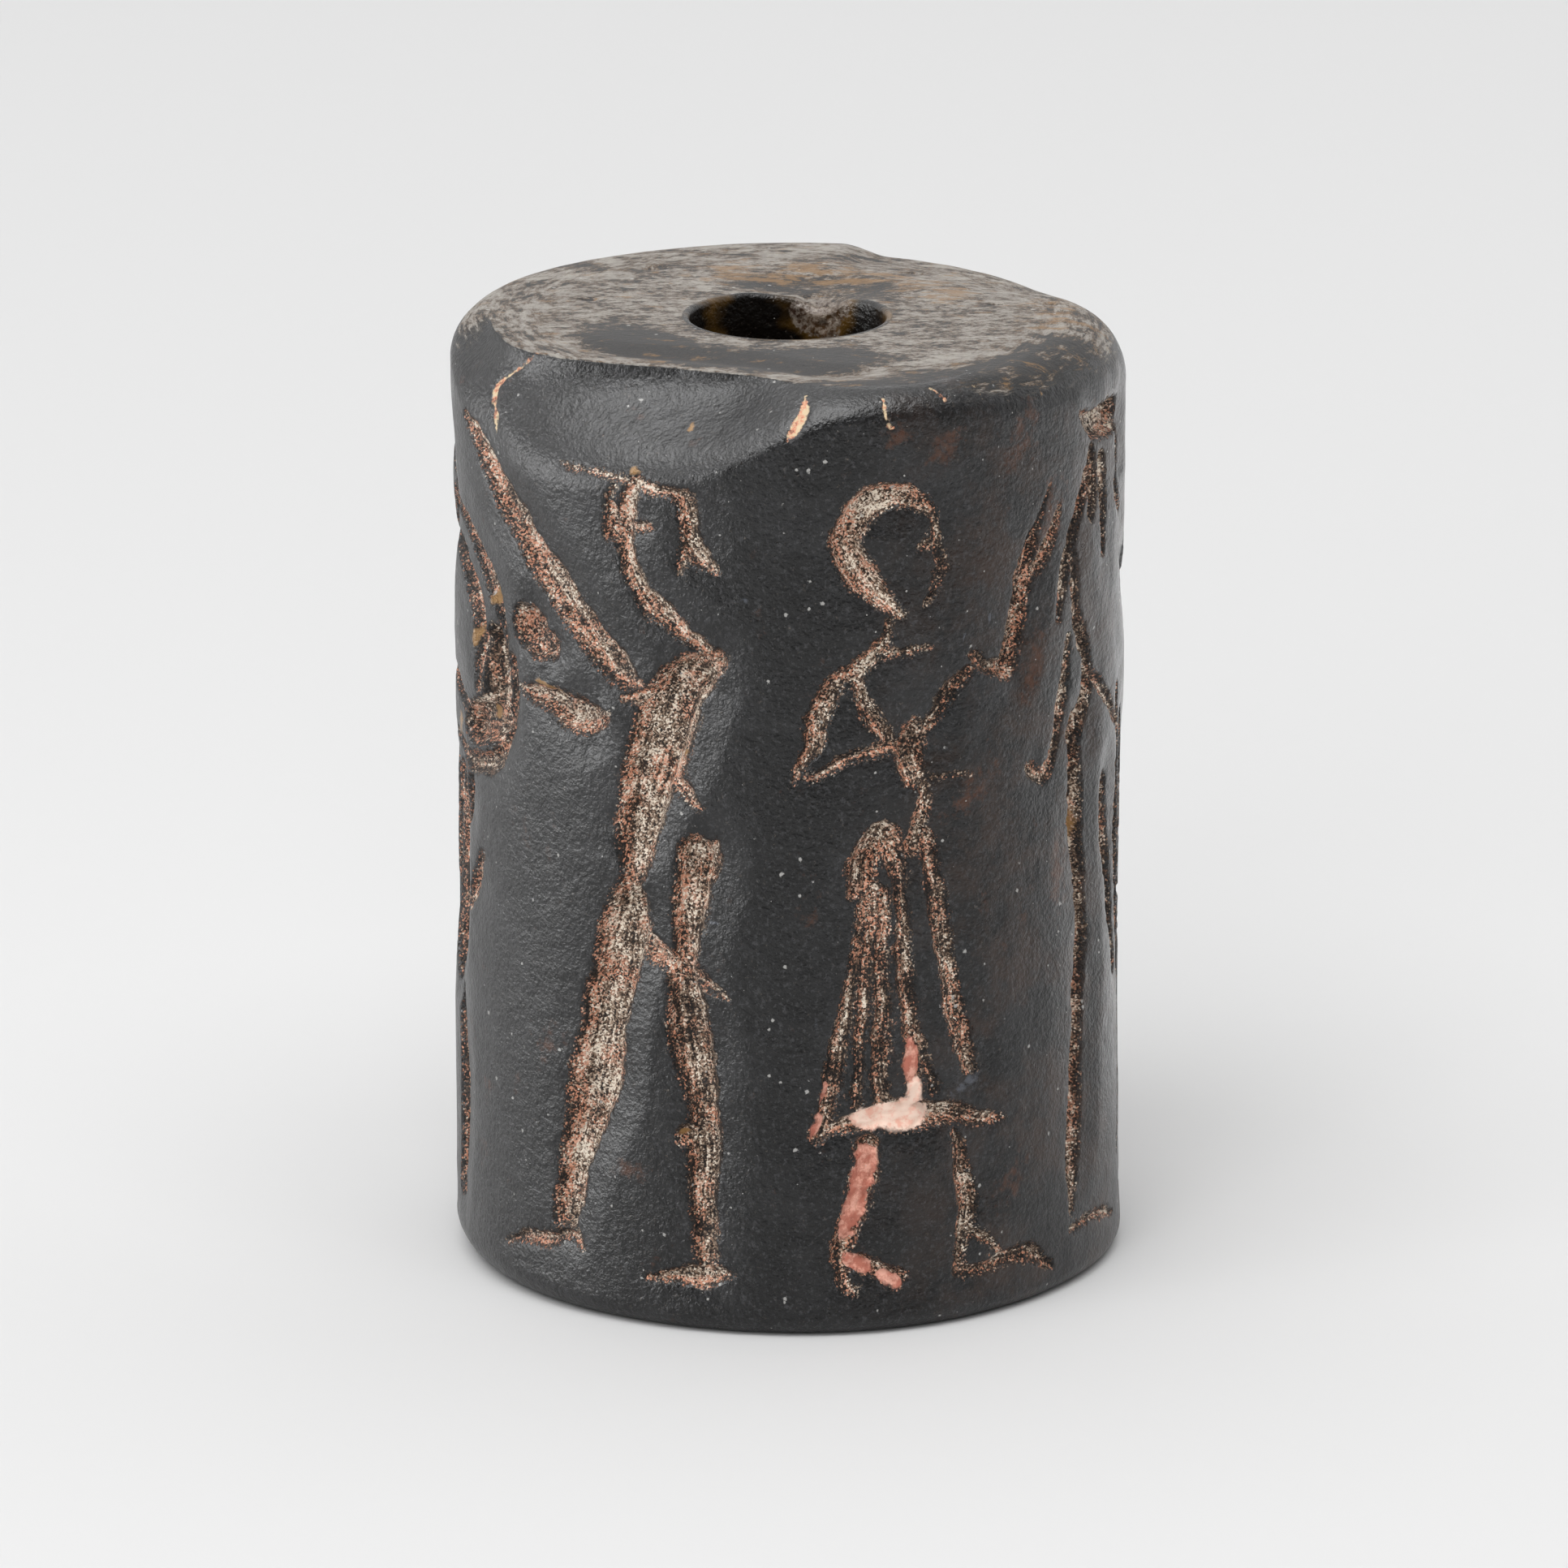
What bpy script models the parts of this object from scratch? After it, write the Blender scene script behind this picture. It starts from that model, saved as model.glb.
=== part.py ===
# Cylinder seal: one drilled and engraved stone, standing on its flat lower end.
# Metres, +Z up, origin at the middle of the lower end. The photographed side faces -Y.
import bpy
import numpy as np
from math import ceil, pi, radians

# Overall sizes of the stone
SEAL_DIAMETER = 0.0200
SEAL_HEIGHT = 0.0285
BORE_DIAMETER = 0.0058

# Roundings worn onto the two ends, by the side they are on
SHOULDER_ROUND = {"front": 0.0008, "right": 0.0019, "back": 0.0009, "left": 0.0012}
FOOT_ROUND = {"front": 0.0006, "right": 0.0006, "back": 0.0008, "left": 0.0011}
WALL_WAVER = 0.00005

# Wear on the front left of the shoulder, under a sharp ridge: how much further in and down it runs.
# Turns are in degrees to the right of the front, where it begins and where it ends.
WEAR_INWARD = 0.0020
WEAR_INWARD_TURNS = ((-70, -24), (-14, 24))
WEAR_DROP = 0.0023
WEAR_DROP_TURNS = ((-92, -52), (-24, 13))
SHARP_RIDGE_TURNS = ((-95, -80), (-12, 12))

# Shape of the shoulder's curve, in shares of its run: a plain rounding, and the steep worn one
ROUND_HANDLE = 0.55
WORN_WALL_HANDLE = 0.45
WORN_RIDGE_HANDLE = 0.02
WORN_UNDER_RIDGE = 0.36

# Relief of the upper end: a shallow valley inside the front rim, a dish behind the hole, a chip on
# the hole's edge, a lower stretch of the back rim, and pits
VALLEY_INSIDE_RIM = 0.0017
VALLEY_HALF_WIDTH = 0.00115
VALLEY_DEPTH = 0.00017
VALLEY_TURNS = ((-75, -45), (8, 30))
DISH_RADIUS = 0.0025
DISH_DEPTH = 0.0002
DISH_RIGHT = 0.0009
DISH_BACK = 0.0036
BORE_CHIP_RADIUS = 0.0009
BORE_CHIP_DEPTH = 0.0003
BORE_CHIP_TURN = 160
BACK_STEP_DROP = 0.00022
BACK_STEP_ROUNDING = 2.0
BACK_STEP_TURNS = ((95, 125), (160, 170))
PIT_DEPTH = 0.00014
FLOOR_SHARE_OF_HOLLOW = 0.25
# Each pit's turn, distance from the middle, half length and half width
PITS = [(147, 0.0069, 0.0005, 0.00022), (104, 0.0064, 0.0004, 0.0002), (101, 0.0079, 0.0004, 0.0002),
        (-109, 0.0062, 0.00045, 0.00024), (-146, 0.0072, 0.0006, 0.0003)]

# Engraving: the wall is squared up for drawing, with so many squares to the seal's height. A cut's
# depth and floor are shares of its half width, and its worn edge and the sinking polish around it
# reach so many squares outside it. The polish sinks less on a cut's left than on its right.
SQUARES_HIGH = 28.5
DEEPEST_CUT = 0.00062
DEPTH_SHARE = 0.95
FLOOR_SHARE = 0.55
EDGE_ROUND_LEAST = 0.06
EDGE_ROUND_SHARE = 0.35
EDGE_ROUND_MOST = 0.16
SINK_REACH = 1.3
SINK_SHARE = 0.45
SINK_LEFT_SHARE = 0.3
SINK_TURNOVER = 0.5
FOLD_BOW = 0.42
BACK_DEPTH_SHARE = 0.75
BACK_FINEST_CUT = 0.15

# Middle line of each figure, in degrees to the right of the front
STRIDER_TURN = -23.0
HERO_TURN = 23.0
WINGED_TURN = -75.0
ROBED_TURN = 63.0
BACK_STRIDER_TURN = 124.0
BACK_HERO_TURN = -143.0
STAR_TURN = 177.0

# Fineness of the working surface and of the finished solid
PITCH = 0.00014
LEAST_ROWS = 4
SURFACE_FACES = 9300
CURVE_STEPS = 5
BORE_SIDES = 56

RADIUS = SEAL_DIAMETER / 2
SQUARE = SEAL_HEIGHT / SQUARES_HIGH
CORE_RADIUS = BORE_DIAMETER / 4
GROUND_ALLOWANCE = 0.0001
CUTTER_MARGIN = 0.002


# The figures are tool cuts. Each cut runs through points of (across, up, half width), in squares
# from the foot of the figure's middle line.
def strider_cuts():
    """A striding creature with a horned head, turned to the right."""
    return {
        "brow": [(-3.3, 25.95, .05), (-1.0, 25.85, .08), (0.0, 25.6, .14)],
        "nape": [(-.65, 25.9, .14), (-1.0, 24.4, .27), (-.75, 23.0, .21), (.1, 21.95, .28), (1.6, 20.85, .2)],
        "ear": [(-1.5, 24.85, .16), (-1.35, 24.2, .28)],
        "horn tick": [(-1.35, 25.6, .05), (-1.55, 25.2, .09)],
        "jaw": [(-.8, 24.4, .15), (-.15, 24.42, .07)],
        "snout": [(-.1, 25.6, .13), (.9, 25.4, .24), (1.12, 24.4, .23), (1.25, 23.75, .3), (1.8, 23.3, .12)],
        "chin": [(1.1, 24.1, .2), (.72, 23.1, .06)],
        "torso": [(1.8, 20.5, .36), (.8, 19.6, .8), (-.2, 17.0, .86), (-.62, 15.3, .62), (-.75, 13.7, .3)],
        "shoulder": [(.2, 19.3, .4), (-.95, 19.15, .05)],
        "belly": [(.2, 17.0, .35), (1.38, 16.1, .07)],
        "rear leg": [(-.85, 13.5, .32), (-1.1, 12.2, .78), (-1.75, 9.6, .68), (-2.15, 7.4, .78),
                     (-2.75, 5.4, .56), (-3.3, 2.9, .36)],
        "rear foot": [(-6.0, 1.65, .04), (-4.6, 1.98, .16), (-3.0, 2.32, .14), (-2.6, 2.1, .06)],
        "thigh stroke": [(-.7, 11.85, .35), (.5, 11.3, .29), (2.35, 10.35, .04)],
        "thigh": [(1.22, 14.6, .55), (1.1, 13.4, .56), (.9, 11.4, .38)],
        "thigh horn": [(1.85, 15.0, .12), (1.6, 14.2, .35)],
        "shank": [(.8, 11.2, .4), (1.1, 8.6, .62), (1.4, 7.1, .42), (1.45, 5.4, .5), (1.5, 3.8, .34),
                  (1.6, 2.3, .24)],
        "knee": [(.95, 6.0, .36), (1.25, 5.9, .4)],
        "fore foot": [(-.2, 1.6, .06), (.8, 1.75, .2), (1.6, 1.8, .3), (2.25, 1.8, .08)],
        "long arm": [(-8.5, 26.2, .06), (-7.4, 25.6, .3), (-4.9, 23.4, .46), (-1.4, 20.15, .4),
                     (-.45, 19.6, .1)],
        "forearm": [(-5.4, 18.72, .05), (-4.0, 18.6, .34), (-2.5, 18.35, .5), (-1.5, 18.6, .05)],
    }


def calm_profile(across, crown, chin):
    """A plain face in profile, set out in three equal parts: brow, nose and mouth with chin."""
    third = (crown - chin) / 3
    brow = crown - third
    nose = brow - third
    return {
        "forehead": [(across, crown, .07), (across + .14, brow + .1, .09)],
        "nose": [(across + .12, brow, .08), (across + .42, nose + .12, .13), (across + .14, nose, .07)],
        "upper lip": [(across + .1, nose - .3 * third, .06), (across + .28, nose - .34 * third, .07)],
        "lower lip": [(across + .08, nose - .5 * third, .05), (across + .22, nose - .54 * third, .06)],
        "chin": [(across + .12, chin + .22, .1), (across - .2, chin, .09)],
        "eye": [(across - .42, brow - .1, .05), (across - .2, brow - .04, .09), (across + .02, brow - .1, .05)],
    }


def skirt_strands():
    """The kilt's folds, fanned from the hip to the hem."""
    folds = [(-1.8, -3.05, 13.2, 6.3, .13, .26), (-1.55, -2.0, 13.6, 7.0, .20, .15),
             (-1.2, -1.25, 13.4, 7.0, .18, .22), (-.65, -.15, 13.9, 7.1, .17, .24),
             (.2, 1.2, 15.0, 8.6, .22, .12), (.55, 1.7, 13.6, 7.9, .12, .22),
             (-.5, .45, 10.6, 7.4, .05, .12)]
    strands = {}
    for number, (top, foot, high, low, narrow, wide) in enumerate(folds):
        middle = top + FOLD_BOW * (foot - top)
        strands["fold %d" % number] = [(top, high, narrow), (middle, (high + low) / 2, (narrow + wide) / 2),
                                       (foot, low, wide)]
    return strands


def hero_cuts():
    """A kilted figure with rolled hair, one arm raised, turned to the right."""
    cuts = {
        "hair": [(.2, 25.0, .15), (-.7, 25.45, .32), (-1.7, 25.2, .42), (-2.28, 24.1, .43), (-1.75, 22.95, .44),
                 (-.75, 21.95, .12)],
        "nape": [(-1.0, 21.8, .1), (-1.2, 21.1, .15), (-2.15, 20.15, .24)],
        "rear arm": [(-2.3, 20.3, .16), (-2.9, 19.5, .28), (-3.4, 18.0, .24), (-3.88, 16.95, .04)],
        "chest": [(-2.05, 20.0, .14), (-1.6, 19.0, .22), (-1.0, 18.1, .2)],
        "collar": [(-1.2, 20.72, .06), (-.6, 20.78, .1), (.1, 20.85, .05)],
        "breast": [(.15, 18.3, .12), (.8, 19.3, .22), (1.6, 19.95, .12)],
        "upper arm": [(1.7, 20.4, .1), (2.3, 19.98, .19), (3.15, 19.75, .32)],
        "forearm": [(3.15, 19.95, .36), (3.42, 21.1, .42), (3.9, 23.0, .27), (4.3, 24.0, .1), (4.8, 24.9, .03)],
        "fingers": [(4.1, 22.4, .12), (4.85, 23.2, .2), (5.3, 24.2, .04)],
        "belt": [(-3.4, 17.05, .04), (-2.0, 17.65, .13), (0, 18.05, .2)],
        "waist": [(-.2, 18.2, .38), (-.3, 17.5, .42), (-.2, 16.9, .25)],
        "girdle end": [(.2, 16.92, .06), (1.6, 16.8, .03)],
        "loin": [(0, 17.0, .12), (.05, 16.1, .18), (-.25, 14.8, .28)],
        "hip": [(-1.85, 13.7, .36), (-1.7, 14.7, .4), (-1.15, 15.2, .34), (-.75, 14.2, .24)],
        "hem": [(-2.9, 6.3, .12), (-1.9, 6.55, .26), (-.4, 6.65, .42), (1.2, 6.42, .28), (2.95, 6.08, .03)],
        "near shin": [(-1.65, 5.8, .34), (-1.8, 4.7, .43), (-2.3, 3.1, .3), (-2.5, 2.3, .2)],
        "near foot": [(-2.45, 2.4, .2), (-1.8, 2.15, .26), (-.7, 1.6, .25)],
        "near heel": [(-2.5, 2.1, .14), (-2.4, 1.65, .15), (-2.1, 1.35, .08)],
        "far shin": [(1.15, 5.95, .1), (1.35, 5.0, .21), (1.62, 3.7, .32), (1.4, 2.5, .18), (1.3, 1.8, .12)],
        "far instep": [(1.7, 2.7, .14), (2.8, 2.0, .05)],
        "far foot": [(1.3, 1.6, .14), (2.2, 1.5, .13), (3.2, 1.76, .18), (4.3, 1.5, .16), (5.2, 1.05, .08)],
    }
    cuts.update(calm_profile(.3, 24.85, 22.25))
    cuts.update(skirt_strands())
    return cuts


def winged_cuts():
    """A winged creature rearing to the left, seen mostly by its folded wing."""
    return {
        "upper feather": [(-1.0, 23.4, .1), (.9, 22.8, .2), (2.5, 21.4, .3), (3.1, 19.9, .06)],
        "middle feather": [(-1.5, 22.6, .1), (0, 21.85, .3), (1.35, 20.5, .34), (1.45, 18.1, .1)],
        "lower feather": [(-1.8, 18.3, .1), (-.4, 17.65, .2), (.8, 17.0, .08)],
        "wing edge": [(3.45, 19.4, .22), (3.4, 18.0, .2), (2.4, 16.3, .32), (.6, 15.75, .25), (-1.1, 16.2, .12)],
        "wing hollow": [(.6, 16.8, .5), (2.3, 17.6, .7), (2.4, 19.6, .6)],
        "pitted patch": [(4.3, 20.7, .6), (5.0, 20.3, .5)],
        "haunch": [(.6, 15.0, .25), (.3, 14.2, .28), (-.2, 13.5, .2)],
        "hock": [(1.8, 13.3, .05), (1.2, 12.1, .2), (.6, 11.3, .08)],
        "thigh": [(-1.1, 14.6, .6), (-1.3, 11.5, .95), (-1.3, 9.0, .4)],
        "shin": [(-.4, 8.4, .16), (-.35, 5.4, .33), (-.6, 2.2, .22)],
        "chest": [(-1.9, 23.2, .5), (-3.2, 21.0, .85), (-3.4, 18.4, .9), (-3.0, 15.6, .8)],
        "head": [(-2.4, 24.4, .45), (-3.4, 25.1, .5), (-4.7, 24.6, .16)],
        "raised paw": [(-3.6, 20.6, .42), (-5.4, 21.4, .3), (-6.5, 23.2, .16)],
        "low paw": [(-3.8, 18.6, .4), (-5.6, 19.0, .3), (-6.9, 18.5, .14)],
        "hind leg": [(-3.0, 15.6, .75), (-3.0, 12.4, .62), (-3.6, 8.4, .46), (-3.3, 3.6, .34), (-3.4, 2.2, .22)],
        "hind foot": [(-3.0, 1.9, .2), (-5.2, 1.65, .1)],
        "tail": [(-1.9, 15.0, .2), (-1.9, 12.9, .14)],
    }


def robed_cuts():
    """A standing figure in a long folded robe."""
    cuts = {
        "headband": [(-.5, 26.75, .08), (.5, 26.2, .42), (1.8, 26.05, .55), (3.2, 25.9, .5)],
        "sleeve line": [(.25, 25.2, .14), (-.3, 24.1, .28), (-1.3, 22.2, .21), (-1.7, 20.8, .08)],
        "sleeve fold": [(.35, 25.4, .2), (.55, 24.4, .32), (.4, 23.5, .2)],
        "hanging hand": [(-1.1, 20.2, .08), (-1.35, 18.6, .19), (-1.9, 16.7, .17), (-2.5, 16.15, .18),
                         (-3.0, 16.5, .12)],
        "strap": [(-.8, 22.5, .15), (-.5, 20.6, .25), (.3, 18.7, .36), (-.2, 17.2, .42)],
        "mantle edge": [(.4, 18.8, .1), (1.5, 17.8, .15), (2.6, 16.7, .1)],
        "lap": [(1.3, 24.9, .25), (1.4, 23.6, .3), (1.2, 22.2, .16)],
        "near fold": [(-.5, 17.3, .45), (-.5, 14.5, .45), (-.1, 11.0, .42), (-.35, 7.6, .44), (-.5, 4.6, .4),
                      (-.75, 2.3, .08)],
        "middle fold": [(1.5, 14.9, .4), (1.9, 12.8, .55), (2.6, 9.2, .22)],
        "ground crack": [(-.8, 1.75, .06), (.6, 1.83, .11), (2.6, 1.4, .05)],
        "hair": [(3.3, 25.1, .5), (2.9, 23.9, .45), (3.5, 22.9, .3)],
        "far sleeve": [(3.4, 21.9, .4), (4.6, 20.2, .45), (6.3, 20.6, .2)],
    }
    for number in range(3):
        across = 3.6 + .85 * number
        cuts["far fold %d" % number] = [(across - .7, 17.6 - number, .18), (across - .1, 10.5, .3),
                                        (across, 3.2, .2)]
    cuts["far foot"] = [(4.2, 1.9, .2), (6.2, 1.7, .1)]
    return cuts


def star_cuts():
    """An eight-rayed star over a crescent, filling the space between two figures."""
    cuts = {"crescent": [(-1.3, 19.3, .06), (0, 18.4, .3), (1.3, 19.3, .06)]}
    for ray in range(8):
        turn = radians(45 * ray)
        tip = (1.25 * np.cos(turn), 22.3 + 1.25 * np.sin(turn), .07)
        cuts["ray %d" % ray] = [(0, 22.3, .24), tip]
    return cuts


def engraving():
    """Every figure's cuts, with where it stands, which way it faces and how deep it is."""
    return [
        (strider_cuts(), STRIDER_TURN, 1, 1.0, 0.0),
        (hero_cuts(), HERO_TURN, 1, 1.0, 0.0),
        (winged_cuts(), WINGED_TURN, 1, 1.0, 0.0),
        (robed_cuts(), ROBED_TURN, 1, 1.0, 0.0),
        (strider_cuts(), BACK_STRIDER_TURN, -1, BACK_DEPTH_SHARE, BACK_FINEST_CUT),
        (hero_cuts(), BACK_HERO_TURN, -1, BACK_DEPTH_SHARE, BACK_FINEST_CUT),
        (star_cuts(), STAR_TURN, 1, BACK_DEPTH_SHARE, 0.0),
    ]


def smooth_step(value, low, high):
    share = np.clip((value - low) / (high - low), 0.0, 1.0)
    return share * share * (3 - 2 * share)


def around(angle):
    """An angle brought into the half turn either side of the front."""
    return (angle + pi) % (2 * pi) - pi


def between(angle, turns):
    """One inside a stretch of the circumference and nought outside, with soft ends."""
    rise, fall = turns
    turned = np.degrees(around(angle))
    return smooth_step(turned, *rise) * (1 - smooth_step(turned, *fall))


def hollow(distance, reach):
    """One on a hollow's floor, falling to nought where it ends."""
    return 1 - smooth_step(distance, FLOOR_SHARE_OF_HOLLOW * reach, reach)


def by_side(sizes, angle):
    """A size that changes smoothly from side to side, with its own value on each of four sides."""
    order = ["front", "right", "back", "left"]
    quarter = (angle % (2 * pi)) / (pi / 2)
    total = np.zeros_like(quarter)
    for number, side in enumerate(order):
        away = np.abs((quarter - number + 2) % 4 - 2)
        total += sizes[side] * (1 - smooth_step(away, 0.0, 1.0))
    return total


def curve_through(points):
    """A smooth curve through a cut's points, with its half width."""
    knots = np.array(points, float)
    if len(knots) == 2:
        return knots
    padded = np.vstack([2 * knots[0] - knots[1], knots, 2 * knots[-1] - knots[-2]])
    share = np.linspace(0, 1, CURVE_STEPS, endpoint=False)[:, None]
    pieces = []
    for a, b, c, d in zip(padded, padded[1:], padded[2:], padded[3:]):
        bend = 2 * a - 5 * b + 4 * c - d
        twist = -a + 3 * b - 3 * c + d
        pieces.append(.5 * (2 * b + (c - a) * share + bend * share ** 2 + twist * share ** 3))
    curve = np.vstack(pieces + [knots[-1:]])
    curve[:, 2] = np.maximum(curve[:, 2], knots[:, 2].min())
    return curve


def cut_into(wall, across, up, points, share):
    """Deepen the wall along one cut: a groove with worn edges, and the polish sinking towards it."""
    curve = curve_through(points)
    spread = curve[:, 2].max() + SINK_REACH
    low = curve[:, :2].min(axis=0) - spread
    high = curve[:, :2].max(axis=0) + spread
    near = (across > low[0]) & (across < high[0]) & (up > low[1]) & (up < high[1])
    x, y = across[near], up[near]
    inside = np.full(x.shape, -spread)
    half = np.zeros(x.shape)
    right = np.zeros(x.shape)
    for start, end in zip(curve, curve[1:]):
        run = end[:2] - start[:2]
        along = ((x - start[0]) * run[0] + (y - start[1]) * run[1]) / (run @ run + 1e-9)
        along = np.clip(along, 0, 1)
        wide = start[2] + along * (end[2] - start[2])
        off_x = x - start[0] - along * run[0]
        off_y = y - start[1] - along * run[1]
        edge = wide - np.hypot(off_x, off_y)
        half = np.where(edge > inside, wide, half)
        right = np.where(edge > inside, off_x, right)
        inside = np.maximum(inside, edge)
    deepest = np.minimum(DEPTH_SHARE * half * SQUARE, DEEPEST_CUT) * share
    soft = np.minimum(EDGE_ROUND_MOST, EDGE_ROUND_LEAST + EDGE_ROUND_SHARE * half)
    groove = deepest * smooth_step(inside, -soft, FLOOR_SHARE * half + 1e-3)
    sink = SINK_SHARE * deepest * smooth_step(inside, -SINK_REACH, 0)
    sink *= SINK_LEFT_SHARE + (1 - SINK_LEFT_SHARE) * smooth_step(right, -SINK_TURNOVER, SINK_TURNOVER)
    wall["groove"][near] = np.maximum(wall["groove"][near], groove)
    wall["sink"][near] = np.hypot(wall["sink"][near], sink)


def engraved_depth(angle, height):
    """How deep the engraver cut at each point of the wall."""
    wall = {"groove": np.zeros(angle.shape), "sink": np.zeros(angle.shape)}
    up = height / SQUARE
    for cuts, turn, facing, share, finest in engraving():
        across = facing * around(angle - radians(turn)) * RADIUS / SQUARE
        for points in cuts.values():
            if max(point[2] for point in points) >= finest:
                cut_into(wall, across, up, points, share)
    return wall["groove"] + wall["sink"]


def shoulder_form(angle):
    """How far the shoulder runs in and down, and how low the rim is, at each angle."""
    step = BACK_STEP_DROP * between(angle, BACK_STEP_TURNS)
    plain = by_side(SHOULDER_ROUND, angle) + BACK_STEP_ROUNDING * step
    inward = plain + WEAR_INWARD * between(angle, WEAR_INWARD_TURNS)
    drop = plain + WEAR_DROP * between(angle, WEAR_DROP_TURNS)
    return inward, drop, SEAL_HEIGHT - step


def shoulder_curve(share, outer, angle):
    """A curve from the wall to the rim: where it is, and the way into the stone."""
    inward, drop, rim = shoulder_form(angle)
    sharp = between(angle, SHARP_RIDGE_TURNS)
    wall_handle = ROUND_HANDLE + sharp * (WORN_WALL_HANDLE - ROUND_HANDLE)
    ridge_handle = ROUND_HANDLE + sharp * (WORN_RIDGE_HANDLE - ROUND_HANDLE)
    places = (outer, outer, outer - inward * (1 - ridge_handle), outer - inward)
    levels = (rim - drop, rim - drop * (1 - wall_handle), rim - sharp * WORN_UNDER_RIDGE * drop, rim)
    left = 1 - share
    weights = (left ** 3, 3 * left ** 2 * share, 3 * left * share ** 2, share ** 3)
    slopes = (-left ** 2, left ** 2 - 2 * left * share, 2 * left * share - share ** 2, share ** 2)
    distance, height = [sum(w * p for w, p in zip(weights, line)) for line in (places, levels)]
    run_in, run_up = [sum(w * p for w, p in zip(slopes, line)) for line in (places, levels)]
    length = np.hypot(run_in, run_up) + 1e-9
    return distance, height, -run_up / length, run_in / length


def top_relief(x, y):
    """Height added to the upper end, all of it hollows."""
    distance = np.hypot(x, y)
    angle = np.arctan2(x, -y)
    rim_distance = RADIUS - shoulder_form(angle)[0]
    valley = 1 - smooth_step(np.abs(rim_distance - VALLEY_INSIDE_RIM - distance), 0, VALLEY_HALF_WIDTH)
    relief = -VALLEY_DEPTH * valley * between(angle, VALLEY_TURNS)
    relief -= DISH_DEPTH * hollow(np.hypot(x - DISH_RIGHT, y - DISH_BACK), DISH_RADIUS)
    chip_x = BORE_DIAMETER / 2 * np.sin(radians(BORE_CHIP_TURN))
    chip_y = -BORE_DIAMETER / 2 * np.cos(radians(BORE_CHIP_TURN))
    relief -= BORE_CHIP_DEPTH * hollow(np.hypot(x - chip_x, y - chip_y), BORE_CHIP_RADIUS)
    for turn, out, long, short in PITS:
        pit_x, pit_y = out * np.sin(radians(turn)), -out * np.cos(radians(turn))
        relief -= PIT_DEPTH * hollow(np.hypot((x - pit_x) / long, (y - pit_y) / short), 1.0)
    return relief


def profile_rows():
    """The rows of the turned form, each as a stretch of the profile and a share of it."""
    shoulder_run = max(SHOULDER_ROUND.values()) + WEAR_INWARD
    stretches = [("foot", RADIUS - CORE_RADIUS), ("foot round", max(FOOT_ROUND.values())),
                 ("wall", SEAL_HEIGHT), ("shoulder", shoulder_run), ("top", RADIUS - CORE_RADIUS)]
    rows = []
    for name, length in stretches:
        count = max(LEAST_ROWS, ceil(length / PITCH))
        rows += [(name, step / count) for step in range(count)]
    return rows + [("top", 1.0)]


def profile_point(stretch, share, angle):
    """One point of the worn cylinder before carving, with the way into the stone and how far up it is."""
    foot = by_side(FOOT_ROUND, angle)
    inward, drop, rim = shoulder_form(angle)
    outer = RADIUS + WALL_WAVER * (np.sin(3 * angle + 1) + np.sin(5 * angle))
    arc = (inward + drop) * pi / 4
    flat = np.zeros_like(angle)
    if stretch == "foot":
        return CORE_RADIUS + share * (outer - foot - CORE_RADIUS), flat - GROUND_ALLOWANCE, flat, flat + 1, flat
    if stretch == "foot round":
        turn = share * pi / 2
        height = foot * (1 - np.cos(turn)) - GROUND_ALLOWANCE * (1 - share)
        return outer - foot + foot * np.sin(turn), height, flat - np.sin(turn), flat + np.cos(turn), height
    if stretch == "wall":
        height = foot + share * (rim - drop - foot)
        return outer, height, flat - 1, flat, height
    if stretch == "shoulder":
        return *shoulder_curve(share, outer, angle), rim - drop + share * arc
    inner = outer - inward
    distance = inner - share * (inner - CORE_RADIUS)
    level = SEAL_HEIGHT - (SEAL_HEIGHT - rim) * smooth_step(distance, RADIUS / 2, inner)
    return distance, level, flat, flat - 1, rim - drop + arc + inner - distance


def carved_surface():
    """Rows of points on the carved surface, from the middle of the lower end to that of the upper."""
    columns = np.linspace(-pi, pi, ceil(2 * pi * RADIUS / PITCH), endpoint=False)
    stretches = profile_rows()
    rows = [np.stack(profile_point(stretch, share, columns)) for stretch, share in stretches]
    distance, height, inward, upward, reach = np.array(rows).transpose(1, 0, 2)
    angle = np.broadcast_to(columns, distance.shape)
    on_foot = np.array([stretch == "foot" for stretch, share in stretches])[:, None]
    on_top = np.array([stretch == "top" for stretch, share in stretches])[:, None]
    depth = engraved_depth(angle, reach) * ~on_foot
    distance = distance + inward * depth
    height = height + upward * depth
    x, y = distance * np.sin(angle), -distance * np.cos(angle)
    height = height + on_top * top_relief(x, y)
    return np.stack([x, y, height], axis=-1)


def closed_mesh(name, rows):
    """A closed mesh from rings of points, capped at both ends."""
    count, columns = rows.shape[:2]
    ring = np.arange(columns)
    faces = []
    for row in range(count - 1):
        low, high = row * columns, (row + 1) * columns
        after = (ring + 1) % columns
        faces += np.stack([low + ring, low + after, high + after, high + ring], axis=-1).tolist()
    faces.append(ring[::-1].tolist())
    faces.append((ring + (count - 1) * columns).tolist())
    mesh = bpy.data.meshes.new(name)
    mesh.from_pydata(rows.reshape(-1, 3).tolist(), [], faces)
    mesh.shade_smooth()
    return mesh


def hidden_cutter(name, mesh, place):
    cutter = bpy.data.objects.new(name, mesh)
    cutter.location = place
    cutter.hide_render = True
    cutter.display_type = 'WIRE'
    bpy.context.collection.objects.link(cutter)
    return cutter


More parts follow.
